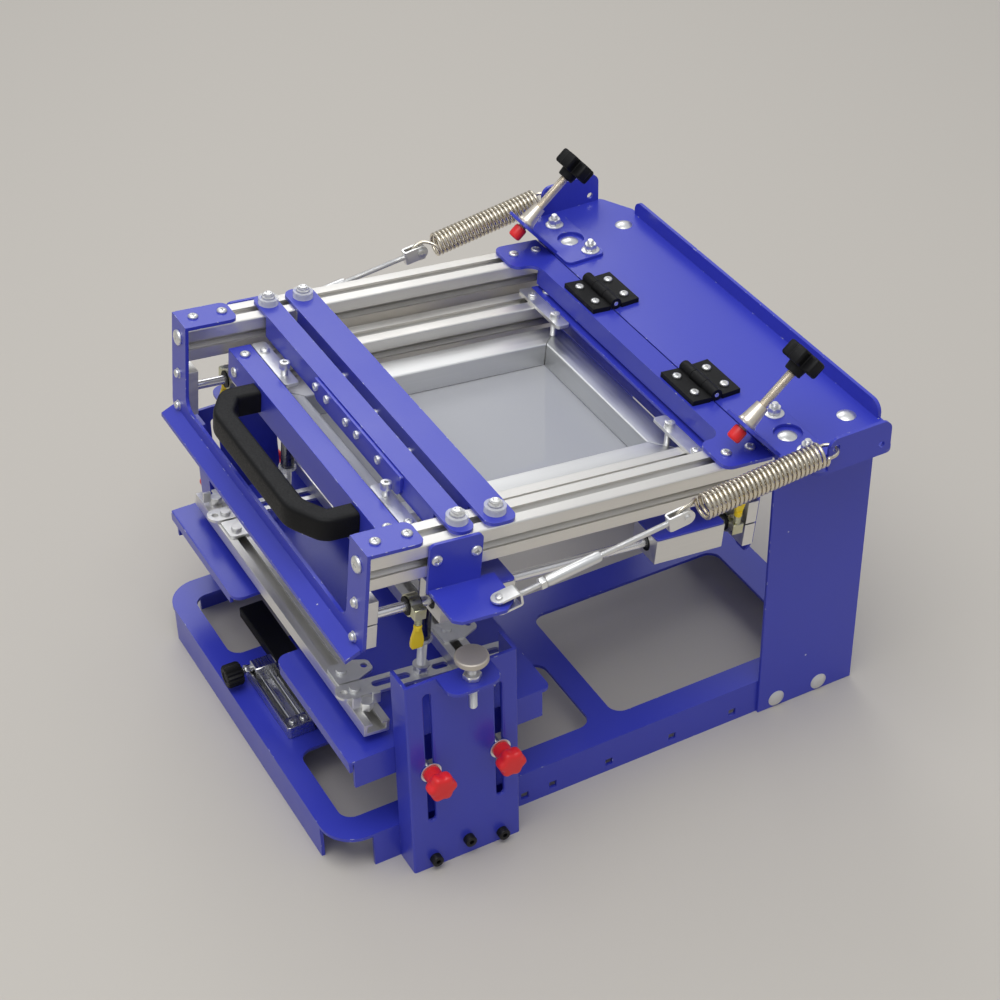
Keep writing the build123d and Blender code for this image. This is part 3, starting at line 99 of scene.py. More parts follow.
for lamp_name, place, aim, wide, power in (
        ("lamp_over", (0.5, -0.3, 2.6), (0.0, 0.25, 0.2), 1.9, 34.0),
        ("lamp_side", (-1.9, 0.9, 1.9), (0.0, 0.25, 0.2), 1.2, 9.0)):
    lamp_data = bpy.data.lights.new(lamp_name, "AREA")
    lamp_data.size = wide
    lamp_data.energy = power
    lamp = bpy.data.objects.new(lamp_name, lamp_data)
    bpy.context.scene.collection.objects.link(lamp)
    lamp.location = place
    lamp.rotation_euler = (Vector(aim) - Vector(place)).to_track_quat("-Z", "Y").to_euler()


# ---- Floor ------------------------------------------------------------------------
# A plain pale floor that the press stands on, with no joints and a dull surface. It is
# only a stage: it belongs to no body and isn't part of the press.
def surface(name, color, metallic=0.0, roughness=0.5):
    """New node material; returns it with its nodes, its links and its shader."""
    made = bpy.data.materials.new(name)
    made.use_nodes = True
    shader = made.node_tree.nodes["Principled BSDF"]
    shader.inputs["Base Color"].default_value = (*color, 1)
    shader.inputs["Metallic"].default_value = metallic
    shader.inputs["Roughness"].default_value = roughness
    return made, made.node_tree.nodes, made.node_tree.links, shader


def pattern(nodes, links, kind, scale, stretch=(1, 1, 1), turn=(0, 0, 0), **settings):
    """Texture node on Object coordinates, stretched and turned by a Mapping node."""
    place = nodes.new("ShaderNodeTexCoord")
    mapping = nodes.new("ShaderNodeMapping")
    mapping.vector_type = "TEXTURE"
    mapping.inputs["Rotation"].default_value = turn
    mapping.inputs["Scale"].default_value = [1 / s for s in stretch]
    texture = nodes.new(kind)
    texture.inputs["Scale"].default_value = scale
    for key, value in settings.items():
        texture.inputs[key.replace("_", " ")].default_value = value
    links.new(place.outputs["Object"], mapping.inputs["Vector"])
    links.new(mapping.outputs["Vector"], texture.inputs["Vector"])
    return texture


def spread(nodes, links, source, low, high, to_low, to_high):
    """Map Range node: source between low and high becomes to_low to to_high."""
    ranged = nodes.new("ShaderNodeMapRange")
    for key, value in (("From Min", low), ("From Max", high), ("To Min", to_low), ("To Max", to_high)):
        ranged.inputs[key].default_value = value
    links.new(source, ranged.inputs["Value"])
    return ranged.outputs["Result"]


def roughen(nodes, links, shader, height, depth, strength=1.0):
    """Bump node of that depth in metres on the shader's normal."""
    bump = nodes.new("ShaderNodeBump")
    bump.inputs["Distance"].default_value = depth
    bump.inputs["Strength"].default_value = strength
    links.new(height, bump.inputs["Height"])
    links.new(bump.outputs["Normal"], shader.inputs["Normal"])
    return bump


floor_mat, nodes, links, shader = surface("floor_pale", (0.575, 0.54, 0.485), roughness=0.6)
floor_mesh = bpy.data.meshes.new("floor")
floor_mesh.from_pydata([(-6, -6, 0), (6, -6, 0), (6, 6, 0), (-6, 6, 0)], [], [(0, 1, 2, 3)])
floor_mesh.materials.append(floor_mat)
floor = bpy.data.objects.new("floor", floor_mesh)
bpy.context.scene.collection.objects.link(floor)


# ---- Painted sheet steel ----------------------------------------------------------
# Base, tower, deck, stands, table, panels and bars are 3 mm steel, folded, drilled and
# powder coated in deep blue. The coat has a faint orange peel, white primer shows in
# small chips, most of them along the edges, and the cut edges are slightly rounded.
blue, nodes, links, shader = surface("blue_powder_coat", (0.036, 0.048, 0.49), roughness=0.34)
shader.inputs["Coat Weight"].default_value = 0.25
shader.inputs["Coat Roughness"].default_value = 0.2
peel = pattern(nodes, links, "ShaderNodeTexNoise", 420.0, Detail=2.0)
drift = pattern(nodes, links, "ShaderNodeTexNoise", 9.0, Detail=3.0)
roughen(nodes, links, shader, peel.outputs["Fac"], 0.00012, 0.35)
links.new(spread(nodes, links, drift.outputs["Fac"], 0.3, 0.7, 0.28, 0.42), shader.inputs["Roughness"])
specks = pattern(nodes, links, "ShaderNodeTexVoronoi", 42.0)
few = nodes.new("ShaderNodeSeparateColor")
links.new(specks.outputs["Color"], few.inputs["Color"])
speck_here = spread(nodes, links, specks.outputs["Distance"], 0.026, 0.046, 1, 0)
speck_some = spread(nodes, links, few.outputs["Red"], 0.80, 0.82, 0, 1)
edge = nodes.new("ShaderNodeBevel")
edge.inputs["Radius"].default_value = 0.0011
flat = nodes.new("ShaderNodeNewGeometry")
bend = nodes.new("ShaderNodeVectorMath")
bend.operation = "DOT_PRODUCT"
links.new(edge.outputs["Normal"], bend.inputs[0])
links.new(flat.outputs["Normal"], bend.inputs[1])
edge_here = spread(nodes, links, bend.outputs["Value"], 0.90, 0.97, 1, 0)
worn = pattern(nodes, links, "ShaderNodeTexNoise", 150.0, Detail=3.0)
edge_some = spread(nodes, links, worn.outputs["Fac"], 0.635, 0.665, 0, 1)
chips = []
for here, some in ((speck_here, speck_some), (edge_here, edge_some)):
    both = nodes.new("ShaderNodeMath")
    both.operation = "MULTIPLY"
    links.new(here, both.inputs[0])
    links.new(some, both.inputs[1])
    chips.append(both.outputs[0])
any_chip = nodes.new("ShaderNodeMath")
any_chip.operation = "MAXIMUM"
links.new(chips[0], any_chip.inputs[0])
links.new(chips[1], any_chip.inputs[1])
shade = nodes.new("ShaderNodeMix")
shade.data_type = "RGBA"
shade.inputs["A"].default_value = (0.031, 0.041, 0.45, 1)
shade.inputs["B"].default_value = (0.041, 0.054, 0.52, 1)
links.new(drift.outputs["Fac"], shade.inputs["Factor"])
coat = nodes.new("ShaderNodeMix")
coat.data_type = "RGBA"
coat.inputs["B"].default_value = (0.62, 0.64, 0.66, 1)
links.new(any_chip.outputs[0], coat.inputs["Factor"])
links.new(shade.outputs["Result"], coat.inputs["A"])
links.new(coat.outputs["Result"], shader.inputs["Base Color"])

weld_distance = 2e-6
flat_angle = math.radians(0.6)
node_body = {node: body for body, held in frame["record"]["behaviour"]["bodies"].items() for node in held}


def finish_piece(obj, body, material, bend_angle=32.0):
    """Links the piece, shades it smooth up to an angle, and makes it ride on its body."""
    obj.data.materials.clear()
    obj.data.materials.append(material)
    obj.data.shade_smooth()
    obj.data.set_sharp_from_angle(angle=math.radians(bend_angle))
    bpy.context.scene.collection.objects.link(obj)
    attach(obj, body)
    return obj


def rounded(node, width, material, segments=2, angle=32.0):
    """The node's own shape with its edges rounded by width millimetres; it stands for the node."""
    shape = bmesh.new()
    shape.from_mesh(frame["nodes"][node].data)
    bmesh.ops.remove_doubles(shape, verts=shape.verts, dist=weld_distance)
    bmesh.ops.dissolve_limit(shape, angle_limit=flat_angle, verts=shape.verts, edges=shape.edges)
    bmesh.ops.recalc_face_normals(shape, faces=shape.faces)
    mesh = bpy.data.meshes.new(node + "_made")
    shape.to_mesh(mesh)
    shape.free()
    obj = finish_piece(bpy.data.objects.new(node + "_made", mesh), node_body[node], material, angle)
    soften = obj.modifiers.new("edge", "BEVEL")
    soften.width = width / 1000
    soften.segments = segments
    soften.limit_method = "ANGLE"
    soften.angle_limit = math.radians(angle)
    soften.harden_normals = True
    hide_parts(node)
    return obj


for node in ("base_plate", "towers", "top_plate", "stands", "stop_brackets", "work_table", "front_panel",
             "rear_legs", "hinge_bar", "spring_brackets", "squeegee_bar", "rear_bar", "carriage_front",
             "carriage_rear", "block_plates", "squeegee_holder"):
    rounded(node, 0.45, blue)


# ---- Aluminium rails --------------------------------------------------------------
# Arm, carriage and lower rails are extruded aluminium with T slots. Drawing left fine
# lines along them and a few dull streaks, and the corners are barely broken.
def drawn_metal(name, color, stretch, turn, low, high):
    """Metal with fine lines along its length: noise stretched along the rail sets the gloss."""
    made, nodes, links, shader = surface(name, color, metallic=1.0, roughness=0.3)
    lines = pattern(nodes, links, "ShaderNodeTexNoise", 1.0, stretch, turn, Detail=3.0)
    broad = pattern(nodes, links, "ShaderNodeTexNoise", 14.0, Detail=2.0)
    both = nodes.new("ShaderNodeMath")
    both.operation = "ADD"
    links.new(lines.outputs["Fac"], both.inputs[0])
    links.new(broad.outputs["Fac"], both.inputs[1])
    links.new(spread(nodes, links, both.outputs[0], 0.75, 1.25, low, high), shader.inputs["Roughness"])
    tone = nodes.new("ShaderNodeMix")
    tone.data_type = "RGBA"
    tone.inputs["A"].default_value = (*[0.90 * part for part in color], 1)
    tone.inputs["B"].default_value = (*color, 1)
    links.new(lines.outputs["Fac"], tone.inputs["Factor"])
    links.new(tone.outputs["Result"], shader.inputs["Base Color"])
    roughen(nodes, links, shader, lines.outputs["Fac"], 0.00004, 0.5)
    return made


arm_tilt = math.radians(6.0)
with_arm = (-arm_tilt, 0, 0)
rail_metal = drawn_metal("drawn_aluminium_along", (0.86, 0.84, 0.80), (900, 6, 900), with_arm, 0.36, 0.50)
cross_metal = drawn_metal("drawn_aluminium_across", (0.84, 0.83, 0.80), (6, 900, 900), (0, 0, 0), 0.34, 0.50)
for node in ("arm_rails", "carriage_rails"):
    rounded(node, 0.25, rail_metal, segments=1)
rounded("lower_rails", 0.3, cross_metal, segments=1)

# ---- Guide rods and bearing blocks ------------------------------------------------
# Two ground and chromed 8 mm shafts sit in clamped flange supports. Four machined
# aluminium blocks run on them, each with a black seal at both ends.
chrome, nodes, links, shader = surface("ground_chrome", (0.90, 0.90, 0.91), metallic=0.82, roughness=0.16)
haze = pattern(nodes, links, "ShaderNodeTexNoise", 1.0, (60, 700, 700), with_arm, Detail=2.0)
links.new(spread(nodes, links, haze.outputs["Fac"], 0.3, 0.7, 0.12, 0.24), shader.inputs["Roughness"])
rounded("guide_rods", 0.5, chrome, angle=50.0)
machined = drawn_metal("machined_aluminium", (0.84, 0.83, 0.81), (500, 30, 500), with_arm, 0.36, 0.52)
rounded("bearing_blocks", 0.5, machined)
rounded("rod_supports", 0.5, machined)
rail_x, guide_z = 174.0, 214.75
block_ends = ((105.0, -1), (169.0, 1), (297.0, -1), (361.0, 1))
hinge_y, hinge_z = 400.0, 288.0


def at_hinge(points):
    """Turns points drawn on the level arm by the arm's tilt about its hinge pins."""
    y = points[..., 1] - hinge_y
    z = points[..., 2] - hinge_z
    turned_y = hinge_y + y * math.cos(arm_tilt) + z * math.sin(arm_tilt)
    turned_z = hinge_z - y * math.sin(arm_tilt) + z * math.cos(arm_tilt)
    return np.stack([points[..., 0] + 0 * y, turned_y, turned_z], axis=-1)


def skin(rings):
    """Closed surface through rings of equal point count: quads between rings, a face on each end."""
    rows, around = rings.shape[:2]
    row = np.arange(rows - 1)[:, None] * around
    col = np.arange(around)[None, :]
    after = (col + 1) % around
    quads = np.stack([row + col, row + after, row + after + around, row + col + around], axis=-1)
    faces = quads.reshape(-1, 4).tolist()
    faces.append(list(range(around))[::-1])
    faces.append(list(range((rows - 1) * around, rows * around)))
    return rings.reshape(-1, 3), faces


def upright(way):
    """Unit vectors: the direction's cross product with Z (or Y), the one across both, the direction."""
    way = np.asarray(way, float) / np.linalg.norm(way)
    side = np.cross(way, (0.0, 0.0, 1.0)) if abs(way[2]) < 0.9 else np.cross(way, (0.0, 1.0, 0.0))
    side /= np.linalg.norm(side)
    return side, np.cross(way, side), way


def stacked(outline, levels, place, way):
    """Rings of one outline in mm: each level is its distance along the way and the outline's scale."""
    side, other, ahead = upright(way)
    levels = np.asarray(levels, float)
    flat = outline[:, 0, None] * side + outline[:, 1, None] * other
    rings = levels[:, 1, None, None] * flat[None] + levels[:, 0, None, None] * ahead
    return skin(rings + np.asarray(place, float))


def circle(radius, sides=28, start=0.0):
    """Points of a circle: radius times the cosine and sine of equal steps of angle."""
    angle = np.linspace(0, 2 * math.pi, sides, endpoint=False) + start
    return radius * np.stack([np.cos(angle), np.sin(angle)], axis=-1)


def turned(profile, place, way, sides=28):
    """Surface of revolution: profile is rows of (distance along way, radius)."""
    return stacked(circle(1.0, sides), profile, place, way)


def build(name, shapes, body, material, stands_for=(), on_arm=False, angle=32.0):
    """One object from closed surfaces in mm: points are joined, tilted if on the arm, and divided by 1000."""
    verts, faces, offset = [], [], 0
    for points, loops in shapes:
        verts.append(at_hinge(points) if on_arm else points)
        faces += [[corner + offset for corner in loop] for loop in loops]
        offset += len(points)
    mesh = bpy.data.meshes.new(name)
    mesh.from_pydata((np.concatenate(verts) / 1000).tolist(), [], faces)
    shape = bmesh.new()
    shape.from_mesh(mesh)
    bmesh.ops.recalc_face_normals(shape, faces=shape.faces)
    shape.to_mesh(mesh)
    shape.free()
    obj = finish_piece(bpy.data.objects.new(name, mesh), body, material, angle)
    if stands_for:
        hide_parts(*stands_for)
    return obj


def both_sides(shapes):
    """The surfaces and their mirror images, whose x is negated."""
    return shapes + [(points * (-1, 1, 1), loops) for points, loops in shapes]


black, nodes, links, shader = surface("black_moulding", (0.006, 0.006, 0.0065), roughness=0.5)
shader.inputs["Specular IOR Level"].default_value = 0.2
grain = pattern(nodes, links, "ShaderNodeTexNoise", 700.0, Detail=2.0)
roughen(nodes, links, shader, grain.outputs["Fac"], 0.00008, 0.4)
links.new(spread(nodes, links, grain.outputs["Fac"], 0.3, 0.7, 0.42, 0.58), shader.inputs["Roughness"])
seal_rows = [(-1.4, 7.3), (-0.3, 7.3), (-0.1, 6.9), (-0.1, 4.9), (-0.5, 4.2), (-1.4, 4.2)]
seals = [turned(seal_rows, (rail_x, end, guide_z), (0, outward, 0)) for end, outward in block_ends]
build("bearing_seals", both_sides(seals), "carriage", black, on_arm=True)

# ---- Screws, bolts and nuts -------------------------------------------------------
# Zinc-plated pan heads with a pressed cross, socket heads with a hexagon, carriage bolts
# with flat domes, flange nuts and hexagon nuts, as bought from a screw supplier.
zinc, nodes, links, shader = surface("zinc_plate", (0.82, 0.83, 0.84), metallic=0.88, roughness=0.32)
plate = pattern(nodes, links, "ShaderNodeTexNoise", 240.0, Detail=3.0)
cast = pattern(nodes, links, "ShaderNodeTexNoise", 45.0, Detail=1.0)
links.new(spread(nodes, links, plate.outputs["Fac"], 0.3, 0.7, 0.28, 0.38), shader.inputs["Roughness"])
tone = nodes.new("ShaderNodeMix")
tone.data_type = "RGBA"
tone.inputs["A"].default_value = (0.78, 0.79, 0.80, 1)
tone.inputs["B"].default_value = (0.86, 0.85, 0.82, 1)
links.new(cast.outputs["Fac"], tone.inputs["Factor"])
links.new(tone.outputs["Result"], shader.inputs["Base Color"])


def cross_outline(reach, half):
    """Plus-shaped outline: six points of one quarter, turned by right angles."""
    points = []
    for quarter in range(4):
        turn = quarter * math.pi / 2
        for x, y in ((reach, 0), (reach, half), ((reach + half) / 2, half), (half, half),
                     (half, (reach + half) / 2), (half, reach)):
            points.append((x * math.cos(turn) - y * math.sin(turn), x * math.sin(turn) + y * math.cos(turn)))
    return np.array(points)


def recessed(recess, rows, depth, place, way):
    """Head whose outer rows are circles, (height, radius), and whose top sinks along a recess outline."""
    side, other, ahead = upright(way)
    angle = np.arctan2(recess[:, 1], recess[:, 0])
    round_rim = np.stack([np.cos(angle), np.sin(angle)], axis=-1)
    top = rows[-1][0]
    outlines = [(height, radius * round_rim) for height, radius in rows]
    outlines += [(top + 0.02, recess * 1.05), (top - 0.15, recess * 0.97), (top - depth, recess * 0.72)]
    rings = [flat[:, 0, None] * side + flat[:, 1, None] * other + height * ahead for height, flat in outlines]
    return skin(np.stack(rings) + np.asarray(place, float))


def pan_head(place, way, radius=4.5, height=2.6):
    """Pan head turned from its rows, a short wall and a domed top, sunk along a cross."""
    rows = [(0, radius * 0.96), (0.3, radius), (height * 0.45, radius), (height * 0.72, radius * 0.93),
            (height * 0.9, radius * 0.78), (height, radius * 0.6)]
    return recessed(cross_outline(radius * 0.52, radius * 0.12), rows, height * 0.6, place, way)


def washer(place, way, outer, inner, thick):
    """Flat ring turned from its section; the last row joins the first to close the hole's wall."""
    cut, sides = 0.15, 28
    low, high = cut, thick - cut
    rows = [(0, inner), (0, outer - cut), (low, outer), (high, outer), (thick, outer - cut), (thick, inner)]
    points, faces = turned(rows, place, way, sides)
    last = (len(rows) - 1) * sides
    hole = [[last + (k + 1) % sides, last + k, k, (k + 1) % sides] for k in range(sides)]
    return points, faces[:-2] + hole


def divided(corners, parts=4):
    """Closed outline through the corners, each side cut into equal parts."""
    after = np.roll(corners, -1, axis=0)
    sides = [np.linspace(start, end, parts, endpoint=False) for start, end in zip(corners, after)]
    return np.concatenate(sides)


def socket_head(place, way, radius, height, hexagon=0.42):
    """Cylinder head turned from its rows, sunk along a hexagon to six tenths of its height."""
    rows = [(0, radius), (height - 0.5, radius), (height - 0.15, radius * 0.96), (height, radius * 0.86)]
    return recessed(divided(circle(radius * hexagon * 1.1, 6)), rows, height * 0.6, place, way)


def hex_nut(place, way, flats, thick, start=0.0):
    """Hexagon whose corners, on both faces, are cut back to just inside the circle on its flats."""
    wall = divided(circle(flats / math.sqrt(3), 6, start))
    reach = np.linalg.norm(wall, axis=1, keepdims=True)
    side, other, ahead = upright(way)
    round_face = wall / reach * np.minimum(reach, flats * 0.49)
    rings = []
    for level, flat in ((0.0, round_face), (thick * 0.12, wall), (thick * 0.88, wall), (thick, round_face)):
        rings.append(flat[:, 0, None] * side + flat[:, 1, None] * other + level * ahead)
    return skin(np.stack(rings) + np.asarray(place, float))


def threaded(place, way, radius, length, pitch=1.25, depth=0.55, sides=20):
    """Screw thread: the radius follows a wave of the distance along minus the angle, once a pitch."""
    side, other, ahead = upright(way)
    along = np.linspace(0, length, max(4, int(length / pitch * 6)))[:, None]
    angle = np.linspace(0, 2 * math.pi, sides, endpoint=False)[None, :]
    wave = 0.5 + 0.5 * np.cos(2 * math.pi * along / pitch - angle)
    ends = np.clip(np.minimum(along, length - along) / 0.8, 0, 1)
    reach = (radius - depth * wave ** 0.8) * (0.8 + 0.2 * ends)
    points = (reach * np.cos(angle))[..., None] * side + (reach * np.sin(angle))[..., None] * other
    return skin(points + along[..., None] * ahead + np.asarray(place, float))


def dome(place, way, radius, height):
    """Flat domed head: the height falls off with the square of the radius."""
    part = np.linspace(1.0, 0.05, 9)
    rows = [(0, radius)] + [(height * (1 - p ** 2.2) + 0.25, radius * p) for p in part]
    return turned(rows, place, way)


UP, FRONT, RIGHT = (0, 0, 1), (0, -1, 0), (1, 0, 0)
base_side, deck_top, sheet = 188.0, 282.5, 3.0
leaf_top = deck_top + 4.5
hinge_screw_x = (66.5, 93.5)
hinge_screw_out = 14.5
height_screw_x, height_screw_y = 222.0, 108.5
base_screws = [dome((base_side, y, 9.0), RIGHT, 8.0, 2.6) for y in (421.7, 466.1)]
base_screws += [dome((174.6, y, deck_top), UP, 8.0, 2.3) for y in (422.1, 479.7)]
for x, y in ((147.0, 428.0), (202.0, 422.0)):
    level = deck_top + sheet
    base_screws.append(turned([(0, 8.2), (0.9, 8.2), (1.6, 6.6), (1.7, 5.2)], (x, y, level), UP))
    base_screws.append(hex_nut((x, y, level + 1.5), UP, 10.0, 5.6, 0.3))
    base_screws.append(threaded((x, y, level + 6.9), UP, 3.0, 4.0, 1.0, 0.4))
base_screws += [pan_head((x, hinge_y + hinge_screw_out, leaf_top), UP, 4.0, 2.4) for x in hinge_screw_x]
base_screws.append(hex_nut((height_screw_x, height_screw_y, 200.0), UP, 13.0, 4.5, 0.2))
build("base_screws", both_sides(base_screws), "base", zinc, ["base_fasteners"])
dark_screw, nodes, links, shader = surface("blackened_screw", (0.02, 0.02, 0.022), 0.6, 0.38)
oil = pattern(nodes, links, "ShaderNodeTexNoise", 200.0, Detail=2.0)
links.new(spread(nodes, links, oil.outputs["Fac"], 0.3, 0.7, 0.28, 0.46), shader.inputs["Roughness"])
stand_out = 210.0
stand_screws = []
for y, z in ((76.0, 9.5), (106.5, 16.5), (137.0, 9.0)):
    stand_screws.append(socket_head((stand_out, y, z), RIGHT, 5.0, 6.0))
    stand_screws.append(turned([(0, 3), (stand_out - base_side, 3)], (base_side, y, z), RIGHT))
build("stand_socket_screws", both_sides(stand_screws), "base", dark_screw)

panel_front, rail_middle = 42.0, 266.0
arm_screws = [pan_head((rail_x + 0.4, y, deck_top), UP) for y in (55.1, 81.3)]
arm_screws.append(pan_head((rail_x, panel_front, rail_middle), FRONT, 7.0, 3.2))
for z in (guide_z - 16, guide_z + 16):
    arm_screws.append(washer((rail_x, panel_front, z), FRONT, 4.6, 2.4, 0.8))
    arm_screws.append(pan_head((rail_x, panel_front - 0.8, z), FRONT, 3.8, 3.0))
arm_screws += [pan_head((x, hinge_y - hinge_screw_out, leaf_top), UP, 4.0, 2.4) for x in hinge_screw_x]
arm_screws += [pan_head((rail_x, y, deck_top), UP) for y in (364.0, 387.0)]
arm_screws += [pan_head((rail_x + 15 + sheet, y, rail_middle), RIGHT) for y in (98.0, 131.0)]
build("arm_screws", both_sides(arm_screws), "arm", zinc, ["arm_fasteners"], on_arm=True)

frame_top, carriage_top = 242.0, 260.75
clamp_bolt_x, carriage_rail_x = 95.0, 135.0
carriage_screws = []
for y, top in ((104.0, 273.0), (364.0, 265.0)):
    head = max(top - 6, carriage_top)
    carriage_screws.append(threaded((clamp_bolt_x, y, frame_top), UP, 3.0, head - frame_top, 1.0, 0.4))
    carriage_screws.append(socket_head((clamp_bolt_x, y, head), UP, 4.5, top - head))
    carriage_screws.append(pan_head((carriage_rail_x, y, carriage_top), UP, 4.2))
carriage_screws += [pan_head((carriage_rail_x, y, carriage_top), UP) for y in (86.0, 379.0)]
carriage_screws.append(pan_head((carriage_rail_x, 77.0, 246.0), FRONT))
build("carriage_screws", both_sides(carriage_screws), "carriage", zinc, ["carriage_fasteners"],
      on_arm=True)

clear, nodes, links, shader = surface("clear_washer", (0.90, 0.91, 0.90), roughness=0.2)
shader.inputs["Alpha"].default_value = 0.42
scuff = pattern(nodes, links, "ShaderNodeTexNoise", 300.0, Detail=2.0)
links.new(spread(nodes, links, scuff.outputs["Fac"], 0.3, 0.7, 0.08, 0.3), shader.inputs["Roughness"])
bar_bolt_x = 173.2
knurl = circle(1.0, 60) * (5.4 + 0.28 * np.cos(np.arange(60) * math.pi))[:, None]
for body, node, y, buttons, level, face in (
        ("squeegee_carrier", "squeegee_bar_bolts", 123.4, (-47.0, -26.0, 10.0, 30.0, 68.0), 275.0, 110.5),
        ("rear_crossbar", "rear_bar_bolts", 155.75, (-61.0, -1.4, 59.5), 269.0, 142.5)):
    bolts = []
    rings = []
    for x in (-bar_bolt_x, bar_bolt_x):
        bolts.append(stacked(knurl, [(0, 0.9), (0.6, 1), (5.4, 1), (6.0, 0.9)], (x, y, deck_top + 1.6), UP))
        bolts.append(stacked(knurl * 0.86, [(0, 0.94), (0.4, 1), (1.6, 1), (2.0, 0.94)], (x, y, 290.0), UP))
        bolts.append(socket_head((x, y, 292.0), UP, 3.9, 1.0, 0.6))
        rings.append(washer((x, y, deck_top + 0.02), UP, 8.8, 6.1, 6.0))
    for x in buttons:
        bolts.append(socket_head((x, face, level), FRONT, 3.5, 2.5, 0.5))
    build(node + "_made", bolts, body, zinc, [node], on_arm=True)
    build(node + "_washers", rings, body, clear, on_arm=True)

# ---- Plated straps ----------------------------------------------------------------
# Laser-cut 2 to 3 mm steel, zinc plated: the straps that clamp the screen frame, the
# slotted straps between the low rails, and their corner plates, screws and wing nuts.
for node in ("frame_straps", "lower_straps", "lower_fasteners"):
    rounded(node, 0.3, zinc)

# ---- Posts under the carriage -----------------------------------------------------
# Each post is a bolt that stands on the table. A dark steel sleeve sets its height, a
# clear ring sits under the sleeve, and two nuts grip the slotted strap between them.
gunmetal, nodes, links, shader = surface("blued_sleeve", (0.16, 0.16, 0.17), metallic=1.0, roughness=0.24)
bluing = pattern(nodes, links, "ShaderNodeTexNoise", 90.0, Detail=2.0)
links.new(spread(nodes, links, bluing.outputs["Fac"], 0.3, 0.7, 0.16, 0.34), shader.inputs["Roughness"])
post = (131.0, 125.5)
sleeve = turned([(0, 5.2), (0, 5.8), (0.4, 6.0), (84.3, 6.0), (84.7, 5.8), (84.7, 5.2)], (*post, 141.0), UP)
build("post_sleeves", both_sides([sleeve]), "carriage", gunmetal, ["lower_posts"], on_arm=True)
post_ring = washer((*post, 139.0), UP, 8.0, 4.4, 1.95)
build("post_rings", both_sides([post_ring]), "carriage", clear, on_arm=True)
post_nuts = [hex_nut((*post, 97.5), UP, 12.0, 6.0), hex_nut((*post, 106.0), UP, 12.0, 6.0, 0.4),
             turned([(0, 5.4), (0.2, 7.0), (1.8, 7.0), (2.0, 5.4)], (*post, 112.0), UP),
             threaded((*post, 91.4), UP, 4.0, 48.8)]
build("post_bolts", both_sides(post_nuts), "carriage", zinc, on_arm=True)

# ---- Hinges -----------------------------------------------------------------------
# Two black moulded hinges, 50 mm long, on steel pins. The knuckles of the rear leaf lie
# between those of the front leaf.
for node in ("hinge_rear_leaves", "hinge_front_leaves"):
    rounded(node, 0.7, black, segments=3)
rounded("hinge_pins", 0.2, chrome, angle=50.0)

# ---- Handle -----------------------------------------------------------------------
# Black moulded pull handle, rounded all over for the fingers. Its two legs run forward
# from the carriage's front angle and slope in to a straight bar.
def filleted(corners, reach, count=12):
    """Line through the corners, each corner cut at that distance and bent by a parabola."""
    corners = np.array(corners, float)
    points = [corners[:1]]
    t = np.linspace(0, 1, count)[:, None]
    for before, corner, after, cut in zip(corners[:-2], corners[1:-1], corners[2:], reach):
        start = corner + (before - corner) / np.linalg.norm(before - corner) * cut
        end = corner + (after - corner) / np.linalg.norm(after - corner) * cut
        points.append((1 - t) ** 2 * start + 2 * t * (1 - t) * corner + t ** 2 * end)
    points.append(corners[-1:])
    return np.concatenate(points)


grip_line = filleted([(-89, 76.6), (-89, 52), (-66, 37), (73, 37), (98, 52), (98, 76.6)], (5, 6, 6, 5), 7)
grip_way = np.gradient(grip_line, axis=0)
grip_way /= np.linalg.norm(grip_way, axis=1, keepdims=True)
round_section = circle(1.0, 40)
squircle = np.sign(round_section) * np.abs(round_section) ** 0.32 * (9.0, 10.5)
grip_z = 247.5
grip_rings = np.stack([
    grip_line[:, None, 0] - grip_way[:, None, 1] * squircle[None, :, 0],
    grip_line[:, None, 1] + grip_way[:, None, 0] * squircle[None, :, 0],
    grip_z + 0 * grip_line[:, None, 0] + squircle[None, :, 1]], axis=-1)
build("handle_grip", [skin(grip_rings)], "carriage", black, ["handle"], on_arm=True,
      angle=24.0)

# ---- Screen -----------------------------------------------------------------------
# Square aluminium tube, mitred and welded, with the printing mesh glued under it. The
# welds are ground flat and show as fine grooves at the corners.
frame_along = drawn_metal("frame_tube_along", (0.82, 0.82, 0.81), (500, 8, 500), with_arm, 0.34, 0.50)
frame_across = drawn_metal("frame_tube_across", (0.80, 0.81, 0.81), (8, 500, 500), (0, 0, 0), 0.34, 0.50)


def round_cornered(half, corner, count):
    """Rectangle's outline with a quarter circle of that many points at each corner."""
    outline = []
    for turn, sign in enumerate(((1, 1), (-1, 1), (-1, -1), (1, -1))):
        bend = np.linspace(0, math.pi / 2, count) + turn * math.pi / 2
        arc = np.stack([np.cos(bend), np.sin(bend)], axis=-1)
        outline.append(np.array(sign) * (half - corner) + corner * arc)
    return np.concatenate(outline)


def mitred(start, end, inward, wide, low, high, corner=1.6):
    """Tube between two outer corners: its rounded section slides along 45 degree ends."""
    start, end, inward = np.array(start, float), np.array(end, float), np.array(inward, float)
    along = (end - start) / np.linalg.norm(end - start)
    section = round_cornered(np.array([wide, high - low]) / 2, corner, 5)
    rings = []
    for shrink, back in ((0.93, 0.1), (1.0, 0.75)):
        across, up = section[:, 0] * shrink + wide / 2, section[:, 1] * shrink + (low + high) / 2
        for place, sign in ((start, 1), (end, -1)):
            flat = place + along * sign * (across[:, None] + back) + inward * across[:, None]
            rings.append(np.column_stack([flat, up]))
    return skin(np.stack([rings[0], rings[2], rings[3], rings[1]]))


